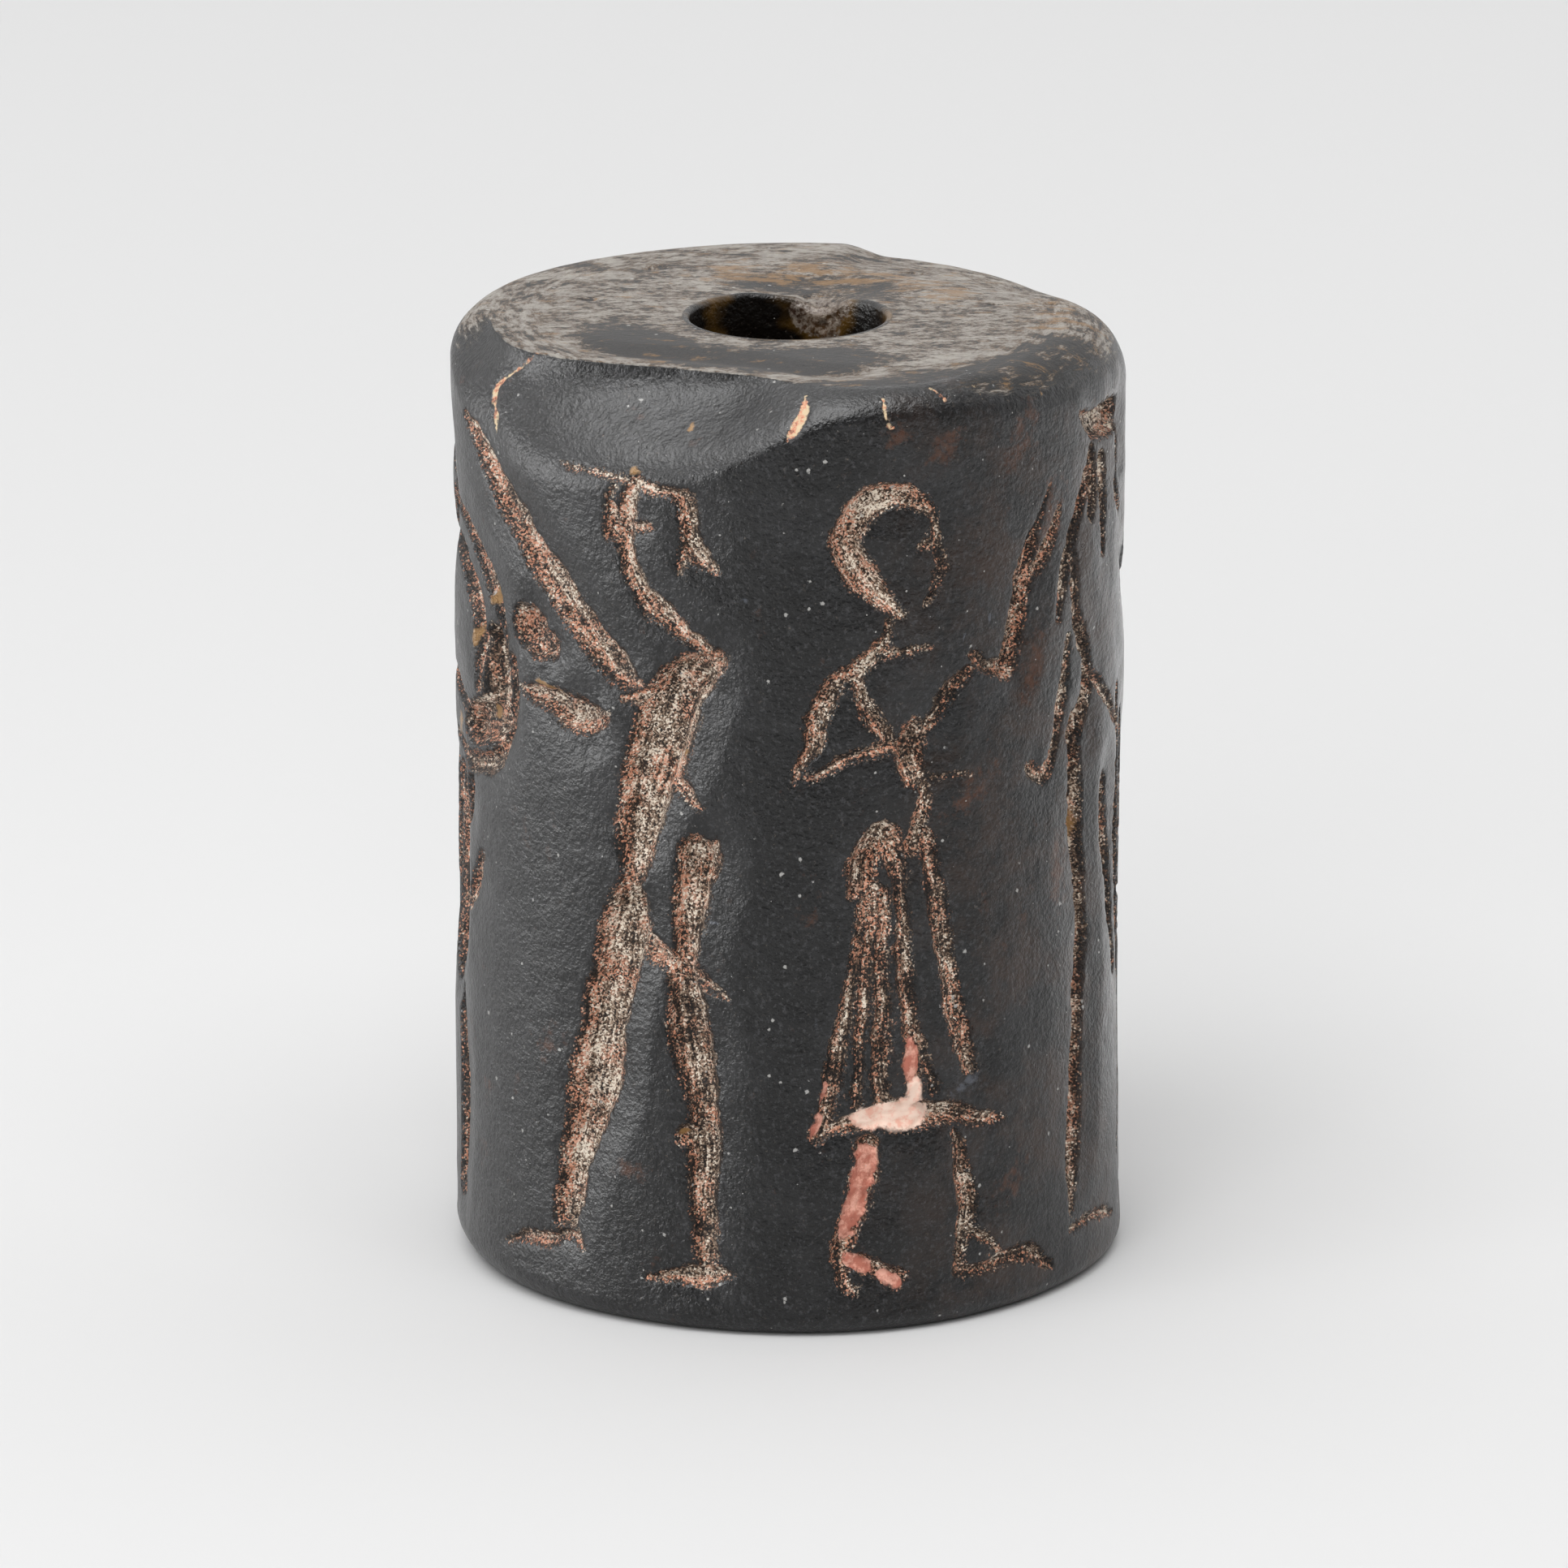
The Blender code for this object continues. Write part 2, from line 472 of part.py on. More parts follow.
def drill():
    """The stringing hole's drill, longer than the stone."""
    turn = np.linspace(0, 2 * pi, BORE_SIDES, endpoint=False)
    half = SEAL_HEIGHT / 2 + CUTTER_MARGIN
    ring = np.stack([BORE_DIAMETER / 2 * np.cos(turn), BORE_DIAMETER / 2 * np.sin(turn), 0 * turn], axis=-1)
    rows = np.stack([ring - [0, 0, half], ring + [0, 0, half]])
    return hidden_cutter("bore_drill", closed_mesh("bore_drill", rows), (0, 0, SEAL_HEIGHT / 2))


def ground_block():
    """A block whose upper face grinds the lower end flat."""
    side = RADIUS + CUTTER_MARGIN
    corners = np.array([[-side, -side, 0], [side, -side, 0], [side, side, 0], [-side, side, 0]])
    rows = np.stack([corners - [0, 0, CUTTER_MARGIN], corners])
    return hidden_cutter("foot_grinder", closed_mesh("foot_grinder", rows), (0, 0, 0))


def dark_stone():
    """Dense, nearly black stone with a worn polish."""
    material = bpy.data.materials.new("dark_stone")
    material.use_nodes = True
    shader = material.node_tree.nodes["Principled BSDF"]
    shader.inputs["Base Color"].default_value = (0.028, 0.026, 0.027, 1)
    shader.inputs["Roughness"].default_value = 0.38
    shader.inputs["Metallic"].default_value = 0.0
    return material


def cut_away(stone, cutter):
    boolean = stone.modifiers.new(cutter.name, 'BOOLEAN')
    boolean.operation = 'DIFFERENCE'
    boolean.solver = 'EXACT'
    boolean.object = cutter


def make_seal():
    """The whole seal: carved surface, simplified, then drilled and ground flat."""
    mesh = closed_mesh("seal", carved_surface())
    mesh.materials.append(dark_stone())
    stone = bpy.data.objects.new("seal", mesh)
    bpy.context.collection.objects.link(stone)
    fine_faces = sum(len(face.vertices) - 2 for face in mesh.polygons)
    simplify = stone.modifiers.new("simplify", 'DECIMATE')
    simplify.ratio = min(1.0, SURFACE_FACES / fine_faces)
    cut_away(stone, ground_block())
    cut_away(stone, drill())
    return stone


def main():
    for thing in list(bpy.data.objects):
        bpy.data.objects.remove(thing, do_unlink=True)
    make_seal()


main()
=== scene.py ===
from math import ceil, cos, pi, radians, sin

import bpy
import numpy as np
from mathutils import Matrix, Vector, kdtree


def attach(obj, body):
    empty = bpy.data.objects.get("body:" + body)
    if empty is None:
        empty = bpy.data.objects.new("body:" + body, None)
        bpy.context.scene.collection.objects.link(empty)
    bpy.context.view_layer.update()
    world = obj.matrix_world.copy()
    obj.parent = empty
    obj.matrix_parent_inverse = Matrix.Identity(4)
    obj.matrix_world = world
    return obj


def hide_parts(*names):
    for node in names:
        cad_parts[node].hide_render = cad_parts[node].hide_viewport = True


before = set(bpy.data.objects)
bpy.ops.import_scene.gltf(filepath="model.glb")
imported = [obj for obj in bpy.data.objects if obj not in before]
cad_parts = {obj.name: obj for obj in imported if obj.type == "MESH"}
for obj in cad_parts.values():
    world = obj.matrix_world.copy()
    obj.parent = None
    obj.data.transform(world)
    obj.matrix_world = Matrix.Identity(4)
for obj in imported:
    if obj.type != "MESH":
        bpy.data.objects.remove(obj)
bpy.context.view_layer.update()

# Everything on the stone is measured in millimetres and made into metres at the end.
mm = 0.001

stone = {
    "diameter": 20.0,
    "height": 28.5,
    "bore": 5.8,
    "shoulderRound": {"front": .8, "right": 1.9, "back": .9, "left": 1.2},
    "footRound": {"front": .6, "right": .6, "back": .8, "left": 1.1},
    "mouthRound": .16,
    "waver": .05,
    "ripple": .010,  # how uneven the polish is
    "finePitch": .08,
    "coarsePitch": .17,
    "fineSide": 97.0,  # degrees either side of the front that are built fine
    "triangles": 196000,
}
radius = stone["diameter"] / 2

# The front left of the shoulder is worn hollow under a sharp ridge. Angles are in degrees from the front.
wear = {
    "inward": 2.0, "inwardTurns": ((-70, -24), (-14, 24)),
    "drop": 2.3, "dropTurns": ((-92, -52), (-24, 13)),
    "sharpTurns": ((-95, -80), (-12, 12)),
    "roundHandle": .55, "wallHandle": .45, "ridgeHandle": .02, "underRidge": .36,
    "polishedTurns": ((-95, -80), (24, 50)),  # where the streaked wear stops at the rim
}

topEnd = {
    "valleyInside": 1.7, "valleyHalf": 1.15, "valleyDepth": .17, "valleyTurns": ((-75, -45), (8, 30)),
    "dishRadius": 2.5, "dishDepth": .2, "dishRight": .9, "dishBack": 3.6,
    "chipRadius": .9, "chipDepth": .28, "chipTurn": 160,
    "stepDrop": .22, "stepRounding": 2.0, "stepTurns": ((95, 125), (160, 170)),
    # pits: turn from the front, distance from the middle, half length and half width
    "pits": [(147, 6.9, .5, .22), (104, 6.4, .4, .2), (101, 7.9, .4, .2), (-109, 6.2, .45, .24),
             (-146, 7.2, .6, .3)],
    "pitDepth": .14,
    "floorShare": .25,
    # the gritty broken patch inside the hole: turn, half its breadth in degrees, how far it reaches down
    "grit": (159, 17, 1.7),
}

engraver = {
    "deepest": .62, "depthShare": .95,
    "floorShare": .50,  # share of the half width over which the sides run down
    "edgeSoft": .12,  # how far the worn edge reaches outside the cut
    # the polish rolls down towards the deeper cuts, more on their right
    "sinkReach": 1.3, "sinkShare": .48, "sinkLeftShare": .3, "sinkTurnover": .5,
    "wander": .085,  # how far the hand strays from a clean line
    "ragged": .055,
    "floorRough": .055,
    "striation": .02, "striationPitch": .19,
    "scarShare": .45,  # cracks and scars are shallower than cuts
    "backShare": .75, "backFinest": .15,
    "curveSteps": 6,
    # cuts that hold more or less deposit than the rest of their figure
    "richer": {"fold": .86, "hair": 1.28, "longArm": .90, "rearLeg": .98, "shank": .76, "rearArm": .9},
}

turns = {"strider": -23.0, "hero": 23.0, "winged": -75.0, "robed": 63.0, "backStrider": 124.0,
         "backHero": -143.0, "star": 177.0}


# Each cut runs through points of (across, up, half width) in millimetres, from the foot of the
# figure's middle line.
def striderCuts():
    return {
        "brow": [(-3.3, 25.95, .05), (-1, 25.85, .08), (0, 25.6, .14)],
        "nape": [(-.65, 25.9, .14), (-1, 24.4, .27), (-.75, 23, .21), (.1, 21.95, .28), (1.6, 20.85, .2)],
        "ear": [(-1.5, 24.85, .16), (-1.35, 24.2, .28)],
        "hornTick": [(-1.35, 25.6, .05), (-1.55, 25.2, .09)],
        "jaw": [(-.8, 24.4, .15), (-.15, 24.42, .07)],
        "snout": [(-.1, 25.6, .13), (.9, 25.4, .24), (1.12, 24.4, .23), (1.25, 23.75, .3), (1.8, 23.3, .12)],
        "chin": [(1.1, 24.1, .2), (.72, 23.1, .06)],
        "torso": [(1.8, 20.5, .36), (.8, 19.6, .8), (-.2, 17, .86), (-.62, 15.3, .62), (-.75, 13.7, .3)],
        "shoulder": [(.2, 19.3, .4), (-.95, 19.15, .05)],
        "belly": [(.2, 17, .35), (1.38, 16.1, .07)],
        "rearLeg": [(-.85, 13.5, .32), (-1.1, 12.2, .78), (-1.75, 9.6, .68), (-2.15, 7.4, .78),
                    (-2.75, 5.4, .56), (-3.3, 2.9, .36)],
        "rearFoot": [(-6, 1.65, .04), (-4.6, 1.98, .16), (-3, 2.32, .14), (-2.6, 2.1, .06)],
        "thighStroke": [(-.7, 11.85, .35), (.5, 11.3, .29), (2.35, 10.35, .04)],
        "thigh": [(1.22, 14.6, .55), (1.1, 13.4, .56), (.9, 11.4, .38)],
        "thighHorn": [(1.85, 15, .12), (1.6, 14.2, .35)],
        "shank": [(.8, 11.2, .4), (1.1, 8.6, .62), (1.4, 7.1, .42), (1.45, 5.4, .5), (1.5, 3.8, .34),
                  (1.6, 2.3, .24)],
        "knee": [(.95, 6, .36), (1.25, 5.9, .4)],
        "foreFoot": [(-.2, 1.6, .06), (.8, 1.75, .2), (1.6, 1.8, .3), (2.25, 1.8, .08)],
        "longArm": [(-8.5, 26.2, .06), (-7.4, 25.6, .3), (-4.9, 23.4, .46), (-1.4, 20.15, .4),
                    (-.45, 19.6, .1)],
        "forearm": [(-5.4, 18.72, .05), (-4, 18.6, .34), (-2.5, 18.35, .5), (-1.5, 18.6, .05)],
    }


def calmProfile(across, crown, chin):
    # a plain face set out in three equal parts: brow, nose, and mouth with chin
    third = (crown - chin) / 3
    brow = crown - third
    nose = brow - third
    return {
        "forehead": [(across, crown, .07), (across + .14, brow + .1, .09)],
        "nose": [(across + .12, brow, .08), (across + .42, nose + .12, .13), (across + .14, nose, .07)],
        "upperLip": [(across + .1, nose - .3 * third, .06), (across + .28, nose - .34 * third, .07)],
        "lowerLip": [(across + .08, nose - .5 * third, .05), (across + .22, nose - .54 * third, .06)],
        "chin": [(across + .12, chin + .22, .1), (across - .2, chin, .09)],
        "eye": [(across - .42, brow - .1, .05), (across - .2, brow - .04, .09),
                (across + .02, brow - .1, .05)],
    }


def skirtStrands():
    folds = [(-1.8, -3.05, 13.2, 6.3, .13, .26), (-1.55, -2, 13.6, 7, .2, .15),
             (-1.2, -1.25, 13.4, 7, .18, .22), (-.65, -.15, 13.9, 7.1, .17, .24),
             (.2, 1.2, 15, 8.6, .22, .12), (.55, 1.7, 13.6, 7.9, .12, .22),
             (-.5, .45, 10.6, 7.4, .05, .12)]
    strands = {}
    for number, (top, foot, high, low, narrow, wide) in enumerate(folds):
        middle = top + .42 * (foot - top)
        strands["fold%d" % number] = [(top, high, narrow), (middle, (high + low) / 2, (narrow + wide) / 2),
                                      (foot, low, wide)]
    return strands


def heroCuts():
    cuts = {
        "hair": [(.2, 25, .15), (-.7, 25.45, .32), (-1.7, 25.2, .42), (-2.28, 24.1, .43), (-1.75, 22.95, .44),
                 (-.75, 21.95, .12)],
        "nape": [(-1, 21.8, .1), (-1.2, 21.1, .15), (-2.15, 20.15, .24)],
        "rearArm": [(-2.3, 20.3, .16), (-2.9, 19.5, .28), (-3.4, 18, .24), (-3.88, 16.95, .04)],
        "chest": [(-2.05, 20, .14), (-1.6, 19, .22), (-1, 18.1, .2)],
        "collar": [(-1.2, 20.72, .06), (-.6, 20.78, .1), (.1, 20.85, .05)],
        "breast": [(.15, 18.3, .12), (.8, 19.3, .22), (1.6, 19.95, .12)],
        "upperArm": [(1.7, 20.4, .1), (2.3, 19.98, .19), (3.15, 19.75, .32)],
        "forearm": [(3.15, 19.95, .36), (3.42, 21.1, .42), (3.9, 23, .27), (4.3, 24, .1), (4.8, 24.9, .03)],
        "fingers": [(4.1, 22.4, .12), (4.85, 23.2, .2), (5.3, 24.2, .04)],
        "belt": [(-3.4, 17.05, .04), (-2, 17.65, .13), (0, 18.05, .2)],
        "waist": [(-.2, 18.2, .38), (-.3, 17.5, .42), (-.2, 16.9, .25)],
        "girdleEnd": [(.2, 16.92, .06), (1.6, 16.8, .03)],
        "loin": [(0, 17, .12), (.05, 16.1, .18), (-.25, 14.8, .28)],
        "hip": [(-1.85, 13.7, .36), (-1.7, 14.7, .4), (-1.15, 15.2, .34), (-.75, 14.2, .24)],
        "hem": [(-2.9, 6.3, .12), (-1.9, 6.55, .26), (-.4, 6.65, .42), (1.2, 6.42, .28), (2.95, 6.08, .03)],
        "nearShin": [(-1.65, 5.8, .34), (-1.8, 4.7, .43), (-2.3, 3.1, .3), (-2.5, 2.3, .2)],
        "nearFoot": [(-2.45, 2.4, .2), (-1.8, 2.15, .26), (-.7, 1.6, .25)],
        "nearHeel": [(-2.5, 2.1, .14), (-2.4, 1.65, .15), (-2.1, 1.35, .08)],
        "farShin": [(1.15, 5.95, .1), (1.35, 5, .21), (1.62, 3.7, .32), (1.4, 2.5, .18), (1.3, 1.8, .12)],
        "farInstep": [(1.7, 2.7, .14), (2.8, 2, .05)],
        "farFoot": [(1.3, 1.6, .14), (2.2, 1.5, .13), (3.2, 1.76, .18), (4.3, 1.5, .16), (5.2, 1.05, .08)],
    }
    cuts.update(calmProfile(.3, 24.85, 22.25))
    cuts.update(skirtStrands())
    return cuts


def wingedCuts():
    return {
        "upperFeather": [(-1, 23.4, .1), (.9, 22.8, .2), (2.5, 21.4, .3), (3.1, 19.9, .06)],
        "middleFeather": [(-1.5, 22.6, .1), (0, 21.85, .3), (1.35, 20.5, .34), (1.45, 18.1, .1)],
        "lowerFeather": [(-1.8, 18.3, .1), (-.4, 17.65, .2), (.8, 17, .08)],
        "wingEdge": [(3.45, 19.4, .22), (3.4, 18, .2), (2.4, 16.3, .32), (.6, 15.75, .25), (-1.1, 16.2, .12)],
        "wingHollow": [(.6, 16.8, .5), (2.3, 17.6, .7), (2.4, 19.6, .6)],
        "pittedPatch": [(4.3, 20.7, .6), (5, 20.3, .5)],
        "haunch": [(.6, 15, .25), (.3, 14.2, .28), (-.2, 13.5, .2)],
        "hock": [(1.8, 13.3, .05), (1.2, 12.1, .2), (.6, 11.3, .08)],
        "thigh": [(-1.1, 14.6, .6), (-1.3, 11.5, .95), (-1.3, 9, .4)],
        "shin": [(-.4, 8.4, .16), (-.35, 5.4, .33), (-.6, 2.2, .22)],
        "chest": [(-1.9, 23.2, .5), (-3.2, 21, .85), (-3.4, 18.4, .9), (-3, 15.6, .8)],
        "head": [(-2.4, 24.4, .45), (-3.4, 25.1, .5), (-4.7, 24.6, .16)],
        "raisedPaw": [(-3.6, 20.6, .42), (-5.4, 21.4, .3), (-6.5, 23.2, .16)],
        "lowPaw": [(-3.8, 18.6, .4), (-5.6, 19, .3), (-6.9, 18.5, .14)],
        "hindLeg": [(-3, 15.6, .75), (-3, 12.4, .62), (-3.6, 8.4, .46), (-3.3, 3.6, .34), (-3.4, 2.2, .22)],
        "hindFoot": [(-3, 1.9, .2), (-5.2, 1.65, .1)],
        "tail": [(-1.9, 15, .2), (-1.9, 12.9, .14)],
    }


def robedCuts():
    cuts = {
        "headband": [(-.5, 26.75, .08), (.5, 26.2, .42), (1.8, 26.05, .55), (3.2, 25.9, .5)],
        "sleeveLine": [(.25, 25.2, .14), (-.3, 24.1, .28), (-1.3, 22.2, .21), (-1.7, 20.8, .08)],
        "sleeveFold": [(.35, 25.4, .2), (.55, 24.4, .32), (.4, 23.5, .2)],
        "hangingHand": [(-1.1, 20.2, .08), (-1.35, 18.6, .19), (-1.9, 16.7, .17), (-2.5, 16.15, .18),
                        (-3, 16.5, .12)],
        "strap": [(-.8, 22.5, .15), (-.5, 20.6, .25), (.3, 18.7, .36), (-.2, 17.2, .42)],
        "mantleEdge": [(.4, 18.8, .1), (1.5, 17.8, .15), (2.6, 16.7, .1)],
        "lap": [(1.3, 24.9, .25), (1.4, 23.6, .3), (1.2, 22.2, .16)],
        "nearFold": [(-.5, 17.3, .45), (-.5, 14.5, .45), (-.1, 11, .42), (-.35, 7.6, .44), (-.5, 4.6, .4),
                     (-.75, 2.3, .08)],
        "middleFold": [(1.5, 14.9, .4), (1.9, 12.8, .55), (2.6, 9.2, .22)],
        "groundCrack": [(-.8, 1.75, .06), (.6, 1.83, .11), (2.6, 1.4, .05)],
        "hair": [(3.3, 25.1, .5), (2.9, 23.9, .45), (3.5, 22.9, .3)],
        "farSleeve": [(3.4, 21.9, .4), (4.6, 20.2, .45), (6.3, 20.6, .2)],
    }
    for number in range(3):
        across = 3.6 + .85 * number
        cuts["farFold%d" % number] = [(across - .7, 17.6 - number, .18), (across - .1, 10.5, .3),
                                      (across, 3.2, .2)]
    cuts["farFoot"] = [(4.2, 1.9, .2), (6.2, 1.7, .1)]
    return cuts


def starCuts():
    cuts = {"crescent": [(-1.3, 19.3, .06), (0, 18.4, .3), (1.3, 19.3, .06)]}
    for ray in range(8):
        turn = radians(45 * ray)
        cuts["ray%d" % ray] = [(0, 22.3, .24), (1.25 * cos(turn), 22.3 + 1.25 * sin(turn), .07)]
    return cuts


def engraving():
    # cuts, where the figure stands, which way it faces, share of the full depth, finest cut made,
    # and how much grainy deposit is left in it
    back = (engraver["backShare"], engraver["backFinest"])
    return [
        (striderCuts(), turns["strider"], 1, 1.0, 0.0, .61),
        (heroCuts(), turns["hero"], 1, 1.0, 0.0, .53),
        (wingedCuts(), turns["winged"], 1, 1.0, 0.0, .45),
        (robedCuts(), turns["robed"], 1, 1.0, 0.0, .57),
        (striderCuts(), turns["backStrider"], -1, *back, .48),
        (heroCuts(), turns["backHero"], -1, *back, .42),
        (starCuts(), turns["star"], 1, back[0], 0.0, .46),
    ]


# Cracks and scars that are filled with cream and orange, as (across, up, half width) from the front.
scars = {
    "loop": [(-10.1, 29, .05), (-11.1, 28, .09), (-11.5, 27.4, .13), (-11.2, 26.9, .1), (-10.9, 26.6, .11),
             (-10.6, 26.1, .04)],
    "scar": [(.6, 29, .05), (.5, 28.4, .15), (.25, 27.8, .19), (0, 27.3, .05)],
    "notch": [(2.9, 28.5, .07), (2.87, 28, .08), (2.95, 27.5, .04)],
    "notchFoot": [(2.92, 27.55, .04), (3.35, 27.42, .02)],
    "nickLeft": [(4.55, 28.7, .04), (4.8, 28.2, .06)],
    "nickRight": [(6.05, 28.5, .05), (6.15, 28.1, .04)],
}

# Stains and deposits on the surface, as (across, up, half length, half width, tilt in degrees).
deposits = {
    "pink": [(3.1, 6.6, 1.5, .5, -2), (3.85, 7.25, .6, .42, 60)],
    "salmon": [(3.7, 8.3, .75, .36, 88), (2.25, 5, 1, .5, 80), (2, 4, 1.2, .42, 74),
               (2.1, 2.2, .6, .26, -28), (3.1, 1.6, .5, .26, -30), (1, 7.5, .4, .16, 66),
               (.8, 6.5, .45, .22, 65)],
    "ochre": [(-6.2, 27, .22, .16, 0), (-7.3, 26.5, .13, .1, 0), (-3.3, 28, .5, .15, 60),
              (-4.75, 26.15, .3, .2, 20), (-10.6, 21.2, .5, .2, 70), (-13.5, 16.6, .6, .3, 80),
              (-11.6, 17.4, .5, .25, 60), (-11.9, 19.7, .5, .2, 70), (-8, 19.05, .8, .1, -18),
              (8.6, 27.6, .35, .14, 80), (8.45, 26.9, .3, .12, 85), (9.1, 26.85, .16, .12, 0),
              (10.8, 14, .9, .2, 84), (11, 11.2, .5, .2, 80), (10.9, 17.5, .5, .25, 80),
              (-3.2, 6.1, .2, .14, 0), (-3.15, 17.6, .2, .15, 40), (6.3, 26.2, .22, .16, 0)],
    "rust": [(-7.9, 8.05, .9, .55, 30), (-11, 6, .6, .5, 0), (-11.3, 4, .5, .4, 0),
             (-11.7, 2.7, .5, .4, 0), (-5, 4.8, .9, .5, 0), (4.85, 26.75, 1.1, .7, 25),
             (6.2, 13.3, .3, .22, 0), (6.1, 12.7, .3, .22, 0), (6.8, 11.6, .5, .3, 0),
             (5.8, 16.3, 2.2, .6, 35), (3.2, 27.2, .8, .4, 20), (-.2, 25, .35, .25, 0),
             (7.5, 26.5, 1.6, .8, 60), (9, 24, 1.7, .9, 80), (.6, 25.45, .2, .14, 0),
             (9.3, 13, 2, .7, 85), (7.4, 4.2, 1.2, .7, 60), (8.2, 19.5, 1.6, .6, 70),
             (-8.8, 14.6, .5, .4, 0)],
    "scuff": [(6.3, 8.7, .5, .3, 40), (7.4, 8, .45, .16, 30), (5.9, 14.8, .5, .12, 25),
              (6.3, 21.4, .4, .1, 30), (5.2, 20.9, .35, .1, 30), (-1.3, 22.4, .3, .2, 0),
              (5.6, 7.4, .8, .2, 28), (-2.2, 12.6, .25, .12, 0), (.9, 9.6, .3, .2, 50),
              (1.3, 12, .16, .12, 0), (-6.6, 12.2, .3, .2, 20)],
}


def smoothStep(value, low, high):
    share = np.clip((value - low) / (high - low), 0.0, 1.0)
    return share * share * (3 - 2 * share)


def around(angle):
    return (angle + pi) % (2 * pi) - pi


def between(angle, turns):
    # one inside a stretch of the circumference and nought outside, with soft ends given in degrees
    rise, fall = turns
    turned = np.degrees(around(angle))
    return smoothStep(turned, *rise) * (1 - smoothStep(turned, *fall))


def hollow(distance, reach):
    return 1 - smoothStep(distance, topEnd["floorShare"] * reach, reach)


def bySide(sizes, angle):
    # a size that changes smoothly between the values it has on the four sides
    quarter = (angle % (2 * pi)) / (pi / 2)
    total = np.zeros_like(quarter)
    for number, side in enumerate(["front", "right", "back", "left"]):
        away = np.abs((quarter - number + 2) % 4 - 2)
        total += sizes[side] * (1 - smoothStep(away, 0.0, 1.0))
    return total


def latticeNoise(x, y, seed, wrap):
    # smooth random hills between -1 and 1, one to each unit of x and y, joined up at wrap in x
    table = np.random.default_rng(seed).uniform(-1, 1, (wrap, 1021))
    cellX, cellY = np.floor(x).astype(int), np.floor(y).astype(int)
    shareX, shareY = x - cellX, y - cellY
    shareX, shareY = shareX ** 2 * (3 - 2 * shareX), shareY ** 2 * (3 - 2 * shareY)
    left, right = cellX % wrap, (cellX + 1) % wrap
    low, high = cellY % 1021, (cellY + 1) % 1021
    under = table[left, low] + (table[right, low] - table[left, low]) * shareX
    over = table[left, high] + (table[right, high] - table[left, high]) * shareX
    return under + (over - under) * shareY


def wallNoise(angle, reach, size, seed):
    # hills of one size in millimetres, wrapped round the stone
    count = max(3, round(2 * pi * radius / size))
    return latticeNoise((angle / (2 * pi)) % 1.0 * count, reach / size + 40, seed, count)


def twoNoises(angle, reach, sizes, share, seed):
    # hills of one size with a share of another
    return wallNoise(angle, reach, sizes[0], seed) + share * wallNoise(angle, reach, sizes[1], seed + 1)


def curveThrough(points):
    knots = np.array(points, float)
    if len(knots) == 2:
        return knots
    padded = np.vstack([2 * knots[0] - knots[1], knots, 2 * knots[-1] - knots[-2]])
    share = np.linspace(0, 1, engraver["curveSteps"], endpoint=False)[:, None]
    pieces = []
    for a, b, c, d in zip(padded, padded[1:], padded[2:], padded[3:]):
        bend = 2 * a - 5 * b + 4 * c - d
        twist = -a + 3 * b - 3 * c + d
        pieces.append(.5 * (2 * b + (c - a) * share + bend * share ** 2 + twist * share ** 3))
    curve = np.vstack(pieces + [knots[-1:]])
    curve[:, 2] = np.maximum(curve[:, 2], knots[:, 2].min())
    return curve


def againstCurve(curve, x, y):
    # how far inside the cut's edge each point is, the cut's half width there, how far off its middle line
    # on which hand, and how far to the right
    edge = np.full(x.shape, -9.0)
    half, side, right = np.zeros((3,) + x.shape)
    for start, end in zip(curve, curve[1:]):
        run = end[:2] - start[:2]
        along = ((x - start[0]) * run[0] + (y - start[1]) * run[1]) / (run @ run + 1e-9)
        along = np.clip(along, 0, 1)
        wide = start[2] + along * (end[2] - start[2])
        offX, offY = x - start[0] - along * run[0], y - start[1] - along * run[1]
        off = np.hypot(offX, offY)
        closer = wide - off > edge
        half = np.where(closer, wide, half)
        side = np.where(closer, np.sign(run[0] * offY - run[1] * offX) * off, side)
        right = np.where(closer, offX, right)
        edge = np.maximum(edge, wide - off)
    return edge, half, side, right


def nearCurve(curve, across, up, reach):
    spread = curve[:, 2].max() + reach
    low = curve[:, :2].min(axis=0) - spread
    high = curve[:, :2].max(axis=0) + spread
    return (across > low[0]) & (across < high[0]) & (up > low[1]) & (up < high[1])


def fullDepth(half, share):
    return np.minimum(engraver["depthShare"] * half, engraver["deepest"]) * share


def cutInto(wall, across, up, points, share, deposit):
    # one groove with its worn edge
    curve = curveThrough(points)
    near = nearCurve(curve, across, up, engraver["wander"] + .3)
    edge, half, side, _ = againstCurve(curve, across[near], up[near])
    edge += engraver["ragged"] * wall["grit"][near]
    soft = np.minimum(engraver["edgeSoft"], .06 + .35 * half)
    depth = fullDepth(half, share) * smoothStep(edge, -soft, engraver["floorShare"] * half + 1e-3)
    deeper = depth > wall["depth"][near]
    inner = edge > wall["edge"][near]
    for name, value, better in (("depth", depth, deeper), ("side", side, deeper), ("edge", edge, inner),
                                ("fill", deposit + 0 * edge, inner)):
        wall[name][near] = np.where(better, value, wall[name][near])


def sinkTowards(wall, across, up, points, share):
    # the polish rolling down towards a cut
    curve = curveThrough(points)
    near = nearCurve(curve, across, up, engraver["sinkReach"])
    edge, half, _, right = againstCurve(curve, across[near], up[near])
    sink = engraver["sinkShare"] * fullDepth(half, share) * smoothStep(edge, -engraver["sinkReach"], .1)
    rightHand = smoothStep(right, -engraver["sinkTurnover"], engraver["sinkTurnover"])
    sink *= engraver["sinkLeftShare"] + (1 - engraver["sinkLeftShare"]) * rightHand
    wall["sink"][near] = np.hypot(wall["sink"][near], sink)


def boreNoise(angle, height, size, seed):
    # the same hills on the wall of the hole
    closer = 2 * radius / stone["bore"]
    return wallNoise(angle, height * closer, size * closer, seed)


